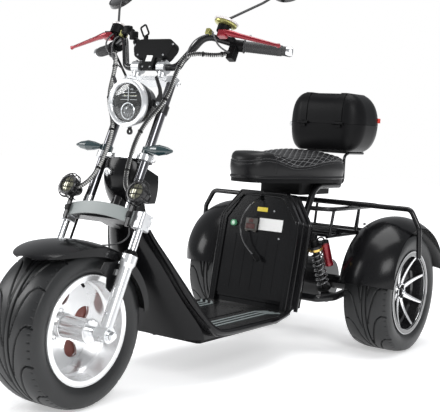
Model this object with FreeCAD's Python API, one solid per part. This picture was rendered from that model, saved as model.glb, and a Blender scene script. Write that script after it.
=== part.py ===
import FreeCAD, Part
import math
import os

os.makedirs("parts", exist_ok=True)

# Motorized trike: a seat scooter with one fat wheel in front and two behind.
# All lengths are in millimetres. Z is up, the front looks along -Y, the left side is +X.
# The origin lies on the ground, at the middle of the overall length and width.

# wheels
tyre_radius = 238.5
tyre_width = 190.0
tyre_section_height = 86.0
tyre_seat_radius = tyre_radius - tyre_section_height
rim_lip_radius = tyre_seat_radius + 14.0
rim_wall = 8.0
rim_drop = 6.0
wheel_bore_radius = 10.3
axle_radius = 10.0

# stance
wheelbase = 1460.0
rear_overhang = 310.0
rear_tyre_x = 375.0
rear_wheel_hub_reach = 112.0

# steering
rake = 24.5
steering_offset = 45.0
fork_leg_x = 150.0
fork_tube_x = 86.0

# clearances
seat_gap = 0.3
running_gap = 6.0

# positions along the length
length = tyre_radius + wheelbase + rear_overhang
front_axle_y = tyre_radius - length / 2.0
rear_axle_y = front_axle_y + wheelbase
tail_y = length / 2.0


def front_y(behind):
    # station measured to the rear from the front axle
    return front_axle_y + behind


def rear_y(behind):
    # station measured to the rear from the rear axle
    return rear_axle_y + behind


X_AXIS = FreeCAD.Vector(1, 0, 0)
Y_AXIS = FreeCAD.Vector(0, 1, 0)
Z_AXIS = FreeCAD.Vector(0, 0, 1)
ORIGIN = FreeCAD.Vector(0, 0, 0)

FORK_PLACEMENT = FreeCAD.Placement(
    FreeCAD.Vector(0, front_axle_y, tyre_radius),
    FreeCAD.Rotation(X_AXIS, -rake))


def vec(x, y, z):
    return FreeCAD.Vector(x, y, z)


def box(x0, x1, y0, y1, z0, z1):
    return Part.makeBox(x1 - x0, y1 - y0, z1 - z0, vec(x0, y0, z0))


def rod(a, b, radius):
    axis = b - a
    return Part.makeCylinder(radius, axis.Length, a, axis)


def cone_rod(a, b, radius_a, radius_b):
    axis = b - a
    return Part.makeCone(radius_a, radius_b, axis.Length, a, axis)


def fuse(shapes):
    first = shapes[0]
    if len(shapes) == 1:
        return first
    return first.fuse(shapes[1:]).removeSplitter()


def mirrored(shape):
    return shape.mirror(ORIGIN, X_AXIS)


def both_sides(shape):
    return [shape, mirrored(shape)]


def apart(shapes):
    return Part.makeCompound(shapes)


def moved(shape, offset):
    copy = shape.copy()
    copy.translate(offset)
    return copy


def turned(shape, centre, axis, angle):
    copy = shape.copy()
    copy.rotate(centre, axis, angle)
    return copy


def on_fork(shape):
    copy = shape.copy()
    copy.Placement = FORK_PLACEMENT.multiply(copy.Placement)
    return copy


def bends(points, radii):
    # tangent arc at each inner point: where it starts and ends, its middle and its centre
    arcs = []
    for index in range(1, len(points) - 1):
        here = points[index]
        back = (points[index - 1] - here).normalize()
        ahead = (points[index + 1] - here).normalize()
        turn = math.pi - back.getAngle(ahead)
        radius = radii[index - 1]
        reach = radius * math.tan(turn / 2.0)
        middle = (back + ahead).normalize()
        centre = here + middle * (radius / math.cos(turn / 2.0))
        arcs.append((here + back * reach, centre - middle * radius, here + ahead * reach, centre, turn))
    return arcs


def bent_path(points, radii):
    # straight runs joined by tangent arcs; radii holds one value for each inner point
    edges = []
    start = points[0]
    for enter, middle, leave, centre, turn in bends(points, radii):
        edges.append(Part.makeLine(start, enter))
        edges.append(Part.Arc(enter, middle, leave).toShape())
        start = leave
    edges.append(Part.makeLine(start, points[-1]))
    return Part.Wire(edges)


def tube(points, radii, radius):
    # bent round bar: a cylinder for each run and a piece of a ring for each bend
    pieces = []
    start = points[0]
    heading = (points[1] - points[0]).normalize()
    for enter, middle, leave, centre, turn in bends(points, radii):
        pieces.append(rod(start, enter, radius))
        disc = Part.Face(Part.Wire(Part.makeCircle(radius, enter, heading)))
        axis = heading.cross(centre - enter)
        pieces.append(disc.revolve(centre, axis, math.degrees(turn)))
        start = leave
        heading = axis.cross(leave - centre).normalize()
    pieces.append(rod(start, points[-1], radius))
    return fuse(pieces)


def polygon(points):
    return Part.makePolygon(points + [points[0]])


def prism(points, direction):
    return Part.Face(polygon(points)).extrude(direction)


def rounded_outline(points, radii):
    # closed outline of straight sides, each corner rounded by its own radius
    edges = []
    count = len(points)
    leaves = []
    arcs = []
    enters = []
    for index in range(count):
        here = points[index]
        back = (points[index - 1] - here).normalize()
        ahead = (points[(index + 1) % count] - here).normalize()
        turn = math.pi - back.getAngle(ahead)
        radius = radii[index]
        reach = radius * math.tan(turn / 2.0)
        enter = here + back * reach
        leave = here + ahead * reach
        middle = (back + ahead).normalize()
        centre = here + middle * (radius / math.cos(turn / 2.0))
        arcs.append(Part.Arc(enter, centre - middle * radius, leave).toShape())
        enters.append(enter)
        leaves.append(leave)
    for index in range(count):
        edges.append(arcs[index])
        nxt = enters[(index + 1) % count]
        if (nxt - leaves[index]).Length > 0.01:
            edges.append(Part.makeLine(leaves[index], nxt))
    return Part.Wire(edges)


def rounded_prism(points, radii, direction):
    return Part.Face(rounded_outline(points, radii)).extrude(direction)


def rounded_block(x0, x1, y0, y1, z0, z1, radius):
    # upright block with rounded vertical edges
    points = [vec(x0, y0, z0), vec(x1, y0, z0), vec(x1, y1, z0), vec(x0, y1, z0)]
    return rounded_prism(points, [radius] * 4, vec(0, 0, z1 - z0))


def revolved(wire, centre, axis, angle=360.0):
    return Part.Face(wire).revolve(centre, axis, angle)


# wheels, built about the X axis at the origin

def tyre():
    half = tyre_width / 2.0
    bead = half - 12.0
    base = tyre_seat_radius + seat_gap
    lip = rim_lip_radius + 1.0
    shoulder = tyre_radius - 9.0
    a = vec(-bead, base, 0)
    b = vec(-bead, lip, 0)
    c = vec(-half + 6.0, shoulder, 0)
    d = vec(half - 6.0, shoulder, 0)
    e = vec(bead, lip, 0)
    f = vec(bead, base, 0)
    edges = [
        Part.makeLine(a, b),
        Part.Arc(b, vec(-half, (lip + shoulder) / 2.0, 0), c).toShape(),
        Part.Arc(c, vec(-half + 34.0, tyre_radius - 1.5, 0), vec(-40.0, tyre_radius, 0)).toShape(),
        Part.makeLine(vec(-40.0, tyre_radius, 0), vec(40.0, tyre_radius, 0)),
        Part.Arc(vec(40.0, tyre_radius, 0), vec(half - 34.0, tyre_radius - 1.5, 0), d).toShape(),
        Part.Arc(d, vec(half, (lip + shoulder) / 2.0, 0), e).toShape(),
        Part.makeLine(e, f),
        Part.makeLine(f, a)]
    return revolved(Part.Wire(edges), ORIGIN, X_AXIS)


def rim_barrel():
    # bead seats with a lip at each edge and a dropped middle
    half = tyre_width / 2.0
    lip_out = half - 6.0
    lip_in = half - 12.0 + seat_gap
    seat = tyre_seat_radius
    inner = seat - rim_wall
    outline = [
        vec(-lip_out, inner + 4.0, 0), vec(-lip_out, rim_lip_radius, 0),
        vec(-lip_in, rim_lip_radius, 0), vec(-lip_in, seat, 0),
        vec(-35.0, seat, 0), vec(-28.0, seat - rim_drop, 0),
        vec(28.0, seat - rim_drop, 0), vec(35.0, seat, 0),
        vec(lip_in, seat, 0), vec(lip_in, rim_lip_radius, 0),
        vec(lip_out, rim_lip_radius, 0), vec(lip_out, inner + 4.0, 0),
        vec(35.0, inner, 0), vec(28.0, inner - rim_drop, 0),
        vec(-28.0, inner - rim_drop, 0), vec(-35.0, inner, 0)]
    return revolved(polygon(outline), ORIGIN, X_AXIS)


front_web_x = -34.0
front_web_thick = 8.0
front_hub_radius = 34.0
front_hub_end = 100.0
front_flange_radius = 50.0
web_radius = tyre_seat_radius - rim_wall - rim_drop + 2.5
petal_count = 5


def petal_hole():
    # a pointed petal between the spokes of the pressed front disc
    high = web_radius - 14.0
    low = front_flange_radius + 8.0
    tip = vec(front_web_x - 20.0, 0, high)
    root = vec(front_web_x - 20.0, 8.0, low)
    right = Part.Arc(root, vec(front_web_x - 20.0, 34.0, (high + low) / 2.0), tip).toShape()
    left = Part.Arc(tip, vec(front_web_x - 20.0, -12.0, (high + low) / 2.0 + 3.0), root).toShape()
    return Part.Face(Part.Wire([right, left])).extrude(vec(60, 0, 0))


def front_rim():
    web = revolved(polygon([
        vec(front_web_x, 0, 0), vec(front_web_x, web_radius, 0),
        vec(front_web_x + front_web_thick, web_radius, 0),
        vec(front_web_x + front_web_thick, 0, 0)]), ORIGIN, X_AXIS)
    hub = rod(vec(-52, 0, 0), vec(front_hub_end, 0, 0), front_hub_radius)
    flange = rod(vec(front_web_x, 0, 0), vec(front_web_x + 16.0, 0, 0), front_flange_radius)
    body = fuse([rim_barrel(), web, hub, flange])
    holes = []
    for index in range(petal_count):
        holes.append(turned(petal_hole(), ORIGIN, X_AXIS, 360.0 * index / petal_count))
    holes.append(rod(vec(-200, 0, 0), vec(200, 0, 0), wheel_bore_radius))
    for index in range(12):
        fin_gap = front_hub_radius + 1.5
        groove = rod(vec(-6, 0, fin_gap), vec(front_hub_end + 1, 0, fin_gap), 4.0)
        holes.append(turned(groove, ORIGIN, X_AXIS, 30.0 * index))
    return body.cut(holes)


disc_radius = 96.0
disc_x = -56.3
disc_thick = 4.0


def brake_disc():
    ring = rod(vec(disc_x, 0, 0), vec(disc_x + disc_thick, 0, 0), disc_radius)
    cuts = [rod(vec(disc_x - 1, 0, 0), vec(disc_x + disc_thick + 1, 0, 0), wheel_bore_radius + 2.0)]
    for index in range(6):
        slot = rod(vec(disc_x - 1, 0, 58.0), vec(disc_x + disc_thick + 1, 0, 58.0), 11.0)
        cuts.append(turned(slot, ORIGIN, X_AXIS, 60.0 * index + 30.0))
    return ring.cut(cuts)


rear_spoke_count = 8
rear_spoke_start = -22.0
rear_spoke_depth = 11.0
rear_hub_radius = 32.0
rear_hub_face = 50.0
rear_bore_end = rear_hub_face - 20.0


def rear_spoke():
    # one blade that leaves the sunk hub nearly flat, climbs to the lip and tapers on the way
    foot = rear_hub_radius - 12.0
    outer = tyre_seat_radius - rim_wall + 5.0
    middle = (foot + outer) / 2.0
    root_x = rear_hub_face - 6.0
    tip_x = tyre_width / 2.0 - 15.0
    bend_x = root_x + (tip_x - root_x) * 0.25
    back = vec(-rear_spoke_depth, 0, 0)
    root = vec(root_x, -20.0, foot)
    bend = vec(bend_x, -20.0, middle)
    tip = vec(tip_x, -20.0, outer)
    edges = [
        Part.Arc(root, bend, tip).toShape(),
        Part.makeLine(tip, tip + back),
        Part.Arc(tip + back, bend + back + vec(0, 0, 2.0), root + back).toShape(),
        Part.makeLine(root + back, root)]
    side = Part.Face(Part.Wire(edges)).extrude(vec(0, 40.0, 0))
    outline = [vec(0, -11.0, foot), vec(0, 11.0, foot), vec(0, 5.0, outer), vec(0, -5.0, outer)]
    return side.common(prism(outline, vec(tyre_width, 0, 0)))


def rear_rim():
    # left wheel: the outer face looks to +X
    spokes = []
    for index in range(rear_spoke_count):
        turn = rear_spoke_start + 360.0 * index / rear_spoke_count
        spokes.append(turned(rear_spoke(), ORIGIN, X_AXIS, turn))
    hub = rod(vec(-rear_wheel_hub_reach + 20.0, 0, 0), vec(rear_hub_face, 0, 0), rear_hub_radius)
    flange = rod(vec(rear_bore_end - 10.0, 0, 0), vec(rear_bore_end + 2.0, 0, 0), rear_hub_radius + 14.0)
    body = fuse([rim_barrel(), hub, flange] + spokes)
    recess = rod(vec(rear_hub_face - 9.0, 0, 0), vec(rear_hub_face + 1.0, 0, 0), rear_hub_radius - 7.0)
    bore = rod(vec(-200, 0, 0), vec(rear_bore_end, 0, 0), 15.0 + seat_gap)
    nut = rod(vec(rear_hub_face - 12.0, 0, 0), vec(rear_hub_face + 3.0, 0, 0), 12.0)
    return body.cut([recess, bore]).fuse(nut)


# fork, built along its own line: X across, Y to the rear, Z up the fork, axle at the origin

stanchion_radius = 13.5


def fork_legs():
    leg = rod(vec(fork_leg_x, 0, -22), vec(fork_leg_x, 0, 243), 19.0)
    collar = cone_rod(vec(fork_leg_x, 0, 205), vec(fork_leg_x, 0, 217), 19.0, 24.0)
    head = rod(vec(fork_leg_x, 0, 217), vec(fork_leg_x, 0, 243), 24.0)
    foot = rod(vec(fork_leg_x - 22, 0, 0), vec(fork_leg_x + 22, 0, 0), 24.0)
    lug = box(fender_half + 4.0, fork_leg_x - 8.0, -9.0, 9.0, fender_stay_low + 6.0, fender_stay_low + 24.0)
    leg = fuse([leg, collar, head, foot, lug])
    leg = leg.cut([rod(vec(fork_leg_x, 0, 150), vec(fork_leg_x, 0, 300), stanchion_radius + seat_gap),
                   rod(vec(fork_leg_x - 60, 0, 0), vec(fork_leg_x + 60, 0, 0), axle_radius + seat_gap)])
    return apart(both_sides(leg))


stanchion_top = 378.0


def stanchions():
    # polished legs below the lower clamp, and the closer pair of tubes above it
    leg = rod(vec(fork_leg_x, 0, 160), vec(fork_leg_x, 0, stanchion_top), stanchion_radius)
    tube_low = clamp_low + 6.3
    upper = rod(vec(fork_tube_x, 0, tube_low), vec(fork_tube_x, 0, crown_high - 4.3), fork_tube_radius)
    return apart(both_sides(leg) + both_sides(upper))


clamp_low = 342.0
clamp_high = 370.0
yoke_low = 544.0
yoke_high = 564.0
crown_low = 812.0
crown_high = 834.0
fork_tube_radius = 15.0
stem_radius = 13.0


def tube_holes(low, high):
    hole = rod(vec(fork_tube_x, 0, low), vec(fork_tube_x, 0, high), fork_tube_radius + seat_gap)
    return both_sides(hole)


def lower_clamp():
    # cast crown over both legs, with the boss of the steering stem behind it
    plate = rounded_block(-132.0, 132.0, -24.0, 24.0, clamp_low, clamp_high, 12.0)
    boss = rod(vec(0, steering_offset, clamp_low), vec(0, steering_offset, clamp_high), 28.0)
    neck = box(-28.0, 28.0, 0.0, steering_offset, clamp_low, clamp_high)
    body = fuse([plate, boss, neck])
    body = fuse([body, steering_stem()] + both_sides(clamp_end()))
    cuts = tube_holes(clamp_low + 6.0, clamp_high + 1.0)
    hole = rod(vec(fork_leg_x, 0, 300), vec(fork_leg_x, 0, 400), stanchion_radius + seat_gap)
    return body.cut(cuts + both_sides(hole))


def clamp_end():
    # square block around the head of each leg
    return rounded_block(130.0, 172.0, -25.0, 25.0, 326.0, 376.0, 9.0)


def clamp_band():
    # shallow arched cover in front of the crown
    outer = Part.Arc(vec(-134, -25.3, 0), vec(0, -46, 0), vec(134, -25.3, 0)).toShape()
    inner = Part.Arc(vec(122, -24.3, 0), vec(0, -41, 0), vec(-122, -24.3, 0)).toShape()
    right = Part.Wire([Part.makeLine(vec(134, -25.3, 0), vec(133, -24.3, 0)),
                       Part.makeLine(vec(133, -24.3, 0), vec(122, -24.3, 0))])
    left = Part.Wire([Part.makeLine(vec(-122, -24.3, 0), vec(-133, -24.3, 0)),
                      Part.makeLine(vec(-133, -24.3, 0), vec(-134, -25.3, 0))])
    outline = Part.Wire([outer] + right.Edges + [inner] + left.Edges)
    wall = Part.Face(outline).extrude(vec(0, 0, 120))
    top = Part.Arc(vec(-150, -100, 372), vec(0, -100, 386), vec(150, -100, 372)).toShape()
    side = Part.makeLine(vec(150, -100, 372), vec(150, -100, 330))
    low = Part.Arc(vec(150, -100, 330), vec(0, -100, 346), vec(-150, -100, 330)).toShape()
    close = Part.makeLine(vec(-150, -100, 330), vec(-150, -100, 372))
    window = Part.Face(Part.Wire([top, side, low, close])).extrude(vec(0, 200, 0))
    return moved(wall, vec(0, 0, 300)).common(window)


def steering_stem():
    return rod(vec(0, steering_offset, clamp_low), vec(0, steering_offset, yoke_high + 4.0), stem_radius)


def yoke():
    # bright bridge over the head tube, with a round clamp at each tube
    ends = both_sides(rod(vec(fork_tube_x, 0, yoke_low), vec(fork_tube_x, 0, yoke_high), 24.0))
    bridge = rounded_prism(
        [vec(-96, -16, yoke_low + 4), vec(96, -16, yoke_low + 4),
         vec(44, steering_offset + 26, yoke_low + 4), vec(-44, steering_offset + 26, yoke_low + 4)],
        [8.0, 8.0, 20.0, 20.0], vec(0, 0, 12))
    body = fuse(ends + [bridge])
    cuts = tube_holes(yoke_low - 1, yoke_high + 1)
    cuts.append(rod(vec(0, steering_offset, yoke_low - 1), vec(0, steering_offset, yoke_high + 9),
                    stem_radius + seat_gap))
    return body.cut(cuts)


riser_x = 52.0
bar_radius = 11.0
bar_low_y = -22.0
bar_low_z = 862.0


def top_crown():
    # bright top bridge with the two risers and their caps
    ends = both_sides(rod(vec(fork_tube_x, 0, crown_low), vec(fork_tube_x, 0, crown_high), 22.0))
    bridge = rounded_block(-92, 92, -24, 22, crown_low + 3, crown_high - 3, 10.0)
    riser = rod(vec(riser_x, bar_low_y + 6, crown_high - 4), vec(riser_x, bar_low_y, bar_low_z), 14.0)
    saddle = rod(vec(riser_x - 15, bar_low_y, bar_low_z), vec(riser_x + 15, bar_low_y, bar_low_z), 21.0)
    body = fuse(ends + [bridge] + both_sides(riser) + both_sides(saddle))
    cuts = tube_holes(crown_low - 1, crown_high - 4)
    cuts.append(rod(vec(-200, bar_low_y, bar_low_z), vec(200, bar_low_y, bar_low_z), bar_radius + seat_gap))
    return body.cut(cuts)


grip_inner = vec(264.0, 55.0, 983.0)
grip_outer = vec(392.0, 116.0, 999.0)
bar_bend = vec(168.0, -10.0, 985.0)


def half_bar_points():
    return [vec(0, bar_low_y, bar_low_z), vec(104, bar_low_y, bar_low_z), bar_bend, grip_inner, grip_outer]


def handlebar():
    half = tube(half_bar_points(), [30.0, 45.0, 60.0], bar_radius)
    return fuse(both_sides(half))


def along_grip(distance):
    direction = (grip_outer - grip_inner).normalize()
    return grip_inner + direction * distance


def grips():
    sleeve = rod(along_grip(8.0), along_grip(130.0), 17.0)
    cap = rod(along_grip(130.0), along_grip(144.0), 15.0)
    body = fuse([sleeve, cap])
    bore = rod(along_grip(0.0), along_grip((grip_outer - grip_inner).Length + 0.5), bar_radius + seat_gap)
    return apart(both_sides(body.cut(bore)))


pot_x = 223.0
pot_y = -2.0
pot_low = 1000.0
pot_height = 33.0
pot_high = pot_low + pot_height


def bar_clearance():
    return tube(half_bar_points(), [30.0, 45.0, 60.0], bar_radius + seat_gap)


def switch_pod(grow):
    return rod(along_grip(-34.0 - grow), along_grip(6.0 + grow), 19.0 + grow)


def controls():
    # switch pod and clamp inboard of each grip, carrying the fluid reservoir
    pod = switch_pod(0.0)
    pot = rod(vec(pot_x, pot_y, pot_low), vec(pot_x, pot_y, pot_high), 22.0)
    arm = rod(vec(pot_x, pot_y, pot_low + 8.0), along_grip(-16.0), 12.0)
    lug = rod(vec(pot_x, pot_y, pot_low + 6.0), vec(pot_x + 34.0, pot_y - 16.0, pot_low - 4.0), 7.0)
    body = fuse([pod, pot, arm, lug])
    return apart(both_sides(body.cut(bar_clearance())))


def levers():
    start = vec(pot_x + 34.2, pot_y - 16.2, pot_low - 4.1)
    tip = start + vec(176.8, 38.2, -25.9)
    blade = tube([start, start + vec(20, -8.5, -5), start + vec(110.8, 24.2, -11.9), tip], [20.0, 80.0], 5.5)
    knob = Part.makeSphere(8.0, tip)
    return apart(both_sides(fuse([blade, knob])))


def mirrors():
    foot = vec(pot_x + 6.0, pot_y, pot_high + seat_gap)
    stem = tube([foot, foot + vec(0, 0, 14), foot + vec(71, 50, 101), foot + vec(101, 74, 149)],
                [10.0, 60.0], 4.0)
    head = rod(foot + vec(123, 86, 175), foot + vec(121, 100, 169), 50.0)
    return apart(both_sides(fuse([stem, head])))


def dash():
    # instrument seen from behind: a rounded plate on a short bracket
    z0 = 880.0
    plate = rounded_prism(
        [vec(-62, -43.6, z0 + 6), vec(62, -43.6, z0 + 6), vec(96, -43.6, z0 + 74), vec(-96, -43.6, z0 + 74)],
        [22.0, 22.0, 26.0, 26.0], vec(0, 34, 0))
    stalk = box(-24, 24, -43.6, -33.3, 846.0, z0 + 20)
    return fuse([plate, stalk])


lamp_s = 742.0


def headlight():
    # bucket turned about the fore and aft line, open rim in front
    radius = 75.0
    profile = [vec(0, 0, 0), vec(0, 118, 0), vec(24, 112, 0), vec(52, 84, 0), vec(68, 40, 0),
               vec(radius, 8, 0), vec(radius, 0, 0)]
    solid = revolved(polygon(profile), ORIGIN, Y_AXIS)
    boss = rod(vec(-76, 40, 0), vec(76, 40, 0), 9.0)
    bowl = rod(vec(0, -1, 0), vec(0, 22, 0), radius - 9.0)
    return solid.fuse(boss).cut(bowl)


def headlight_lens():
    return rod(vec(0, 5.0, 0), vec(0, 22.0 - seat_gap, 0), 75.0 - 9.0 - seat_gap)


lamp_y = front_axle_y + 228.0
lamp_z = 914.0


def lamp_place(shape):
    return moved(turned(shape, ORIGIN, X_AXIS, 0.0), vec(0, lamp_y, lamp_z))


def headlight_ears():
    # collar round each fork tube with an ear to the lamp's side boss
    collar = rod(vec(fork_tube_x, 0, 710), vec(fork_tube_x, 0, 738), 19.0)
    ear = box(76.3, 82.0, -50.0, 0.0, 714, 736)
    hole = rod(vec(fork_tube_x, 0, 700), vec(fork_tube_x, 0, 750), fork_tube_radius + seat_gap)
    return apart(both_sides(collar.fuse(ear).cut(hole)))


def turn_signals():
    collar = rod(vec(fork_tube_x, 0, 566.3), vec(fork_tube_x, 0, 588), 20.0)
    profile = [vec(92, 0, 0), vec(92, 7, 0), vec(120, 14, 0), vec(146, 17, 0), vec(176, 12, 0),
               vec(196, 4, 0), vec(199, 0, 0)]
    pod = moved(revolved(polygon(profile), ORIGIN, X_AXIS), vec(0, -22, 577))
    body = collar.fuse(pod)
    body = body.cut(rod(vec(fork_tube_x, 0, 500), vec(fork_tube_x, 0, 700), fork_tube_radius + seat_gap))
    return apart(both_sides(body))


def spotlights():
    profile = [vec(0, 0, 0), vec(0, 60, 0), vec(16, 56, 0), vec(28, 34, 0), vec(31, 0, 0)]
    pod = moved(revolved(polygon(profile), ORIGIN, Y_AXIS), vec(140, -56, 426))
    post = box(122, 132, -37, -29.3, 322, 410)
    body = pod.fuse(post)
    return apart(both_sides(body))


def front_axle():
    bar = rod(vec(-182, 0, 0), vec(182, 0, 0), axle_radius)
    nut = rod(vec(fork_leg_x + 22.3, 0, 0), vec(fork_leg_x + 34, 0, 0), 15.0)
    inner = fork_leg_x - 22.0 - seat_gap
    left = rod(vec(front_hub_end + 0.5, 0, 0), vec(inner, 0, 0), 16.0)
    right = rod(vec(-inner, 0, 0), vec(disc_x - 0.7, 0, 0), 16.0)
    return fuse([bar, left, right] + both_sides(nut))


fender_half = tyre_width / 2.0 + 23.0
fender_stay_low = tyre_radius - 68.5


def front_fender():
    # arched shell over the front tyre with a lifted front tip
    skin = 3.5

    def section(angle, radius, half, shoulder, drop):
        t = math.radians(angle)
        out = vec(0, math.sin(t), math.cos(t))

        def at(x, depth):
            return vec(x, 0, 0) + out * (radius - depth)
        return Part.Wire([
            Part.makeLine(at(-half, drop), at(-half, shoulder)),
            Part.Arc(at(-half, shoulder), at(0, 0), at(half, shoulder)).toShape(),
            Part.makeLine(at(half, shoulder), at(half, drop)),
            Part.makeLine(at(half, drop), at(half - skin, drop)),
            Part.makeLine(at(half - skin, drop), at(half - skin, shoulder + skin)),
            Part.Arc(at(half - skin, shoulder + skin), at(0, skin),
                     at(-half + skin, shoulder + skin)).toShape(),
            Part.makeLine(at(-half + skin, shoulder + skin), at(-half + skin, drop)),
            Part.makeLine(at(-half + skin, drop), at(-half, drop))])
    over = tyre_radius + 21.5
    sections = [
        section(-39.0, over + 32.0, fender_half - 84.0, 8.0, 13.0),
        section(-28.0, over + 18.0, fender_half - 22.0, 14.0, 26.0),
        section(-8.0, over + 4.0, fender_half - 2.0, 14.0, 38.0),
        section(16.0, over, fender_half, 14.0, 42.0),
        section(46.0, over, fender_half, 14.0, 42.0),
        section(82.0, over + 2.0, fender_half - 6.0, 14.0, 34.0)]
    return Part.makeLoft(sections, True, False)


def fender_stays():
    arm = box(fender_half + seat_gap, fender_half + 4.0 - seat_gap, -18.0, 14.0,
              fender_stay_low, fender_stay_low + 62.0)
    return apart(both_sides(arm))


# body work and frame, in the part's own axes

neck_split_z = 600.0
deck_z = 180.0
deck_thick = 26.0
deck_half = 200.0
deck_start = front_y(485)
deck_end = rear_y(-400)
deck_run = deck_end - deck_start


def board(thick):
    # footboard and leg shield in one sheet, bent up towards the neck
    points = [vec(0, front_y(252), neck_split_z), vec(0, front_y(274), 488),
              vec(0, deck_start, deck_z - 13.0), vec(0, deck_end, deck_z - 13.0)]
    path = bent_path(points, [180.0, 130.0])
    direction = (points[1] - points[0]).normalize()
    across = vec(deck_half, 0, 0)
    normal = direction.cross(X_AXIS) * (thick / 2.0)
    start = points[0]
    ring = polygon([start - across - normal, start + across - normal, start + across + normal,
                    start - across + normal])
    return path.makePipeShell([ring], True, False)


def shield_outline():
    # width of the board seen from the front
    heights = [neck_split_z, 487.0, 390.0, 290.0, 232.0, deck_z + 16.0]
    halves = [60.0, 86.0, 124.0, 153.0, 182.0, deck_half]
    right = [vec(halves[i], -length, heights[i]) for i in range(6)]
    left = [vec(-halves[i], -length, heights[i]) for i in range(6)]
    left.reverse()
    curve_right = Part.BSplineCurve()
    curve_right.interpolate(right)
    curve_left = Part.BSplineCurve()
    curve_left.interpolate(left)
    low_right = vec(deck_half, -length, deck_z - 80.0)
    low_left = vec(-deck_half, -length, deck_z - 80.0)
    wire = Part.Wire([
        curve_right.toShape(), Part.makeLine(right[-1], low_right), Part.makeLine(low_right, low_left),
        Part.makeLine(low_left, left[0]), curve_left.toShape(), Part.makeLine(left[-1], right[0])])
    return Part.Face(wire).extrude(vec(0, 2.0 * length, 0))


def footboard():
    # the rear corners are cut away beside the battery
    low = deck_z - 80.0
    corner = prism([vec(deck_half + 1, rear_y(-580), low), vec(deck_half + 1, deck_end + 1, low),
                    vec(deck_half - 50.0, deck_end + 1, low)], vec(0, 0, 100))
    body = board(deck_thick).common(shield_outline())
    body = body.cut(both_sides(corner) + [spine(spine_radius + seat_gap)])
    return fuse([body] + deck_ribs())


rib_height = 2.5
rib_width = 8.0


def deck_rib(x, x_end):
    # one rib of the foot mat: straight along the deck, then turned outwards before the battery
    low = deck_z - 1.0
    half = rib_width / 2.0
    front = deck_start + 0.14 * deck_run
    turn = deck_end - 0.3 * deck_run
    end = deck_end - 0.226 * deck_run
    return prism([vec(x - half, front, low), vec(x + half, front, low), vec(x + half, turn, low),
                  vec(x_end + half, end, low), vec(x_end - half, end, low), vec(x - half, turn + 4.0, low)],
                 vec(0, 0, rib_height + 1.0))


def deck_ribs():
    # three ribs on each side and the low oval pad between them
    ribs = []
    for x in (100.0, 124.0, 148.0):
        ribs = ribs + both_sides(deck_rib(x, x + 30.0))
    pad = rounded_block(-58.0, 58.0, deck_start + 0.165 * deck_run, deck_end - 0.252 * deck_run,
                        deck_z - 1.0, deck_z + 1.6, 57.9)
    return ribs + [pad]


def shell_section(z, y_front, half_front, y_edge, half_edge, y_back):
    a = vec(-half_edge, y_edge, z)
    b = vec(0, y_front, z)
    c = vec(half_edge, y_edge, z)
    d = vec(half_edge, y_back, z)
    e = vec(-half_edge, y_back, z)
    m1 = vec(-half_front, (y_front * 0.7 + y_edge * 0.3), z)
    m2 = vec(half_front, (y_front * 0.7 + y_edge * 0.3), z)
    curve = Part.BSplineCurve()
    curve.interpolate([a, m1, b, m2, c])
    return Part.Wire([curve.toShape(), Part.makeLine(c, d), Part.makeLine(d, e), Part.makeLine(e, a)])


def head_tube_cut():
    return on_fork(rod(vec(0, steering_offset, clamp_high + 1.0), vec(0, steering_offset, yoke_low - 1.0),
                       26.0 + seat_gap))


head_low = clamp_high + 8.0
head_high = yoke_low - 6.0


def head_tube_solid():
    return on_fork(rod(vec(0, steering_offset, head_low), vec(0, steering_offset, head_high), 26.0))


spine_radius = 14.0


def spine(radius):
    # tube from the head tube down to the floor, inside the covers
    start = FORK_PLACEMENT.multVec(vec(0, steering_offset, (head_low + head_high) / 2.0))
    return tube([start, vec(0, front_y(244), 560), vec(0, front_y(252), 490), vec(0, front_y(412), 190),
                 vec(0, front_y(430), deck_z - deck_thick - seat_gap)], [40.0, 90.0, 60.0], radius)


def clamp_sweep():
    # room for the boss of the lower clamp to turn in
    return on_fork(rod(vec(0, steering_offset, clamp_low - running_gap),
                       vec(0, steering_offset, head_low + 0.5), 28.0 + running_gap))


def downtube_cover():
    sections = [
        shell_section(neck_split_z, front_y(214), 36.0, front_y(246), 66.0, front_y(268)),
        shell_section(480.0, front_y(224), 50.0, front_y(264), 76.0, front_y(280)),
        shell_section(380.0, front_y(278), 76.0, front_y(328), 110.0, front_y(350)),
        shell_section(280.0, front_y(336), 98.0, front_y(390), 140.0, front_y(430)),
        shell_section(200.0, front_y(380), 126.0, front_y(440), 172.0, front_y(490)),
        shell_section(deck_z - deck_thick + seat_gap, front_y(404), 140.0, front_y(460), 180.0,
                      front_y(530))]
    body = Part.makeLoft(sections, True, False)
    body = body.cut(board(deck_thick + 2 * seat_gap))
    solids = sorted(body.Solids, key=lambda s: s.Volume)
    body = solids[-1]
    return body.cut([head_tube_cut(), clamp_sweep(), spine(spine_radius + seat_gap)])


def neck_cover():
    low = shell_section(neck_split_z + seat_gap, front_y(212), 40.0, front_y(246), 70.0, front_y(305))
    mid = shell_section(655.0, front_y(185), 44.0, front_y(224), 76.0, front_y(310))
    high = shell_section(755.0, front_y(200), 40.0, front_y(225), 56.0, front_y(310))
    body = Part.makeLoft([low, mid, high], True, False)
    above = on_fork(box(-300, 300, -300, 300, yoke_low - running_gap, 900))
    hole = lock_rod(front_y(130), front_y(197) + seat_gap, lock_radius + seat_gap)
    return body.cut([above, head_tube_cut(), clamp_sweep(), spine(spine_radius + seat_gap), hole])


lock_x = -20.0
lock_z = 697.0
lock_radius = 11.0


def lock_rod(y0, y1, radius):
    return rod(vec(lock_x, y0, lock_z), vec(lock_x, y1, lock_z), radius)


def lock():
    return lock_rod(front_y(174), front_y(197), lock_radius)


def head_frame():
    # head tube with the spine welded to it
    bore = on_fork(rod(vec(0, steering_offset, head_low - 1), vec(0, steering_offset, head_high + 1),
                       stem_radius + seat_gap))
    return fuse([head_tube_solid(), spine(spine_radius)]).cut(bore)


pivot_y = rear_y(-305)
pivot_z = 215.0


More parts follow.
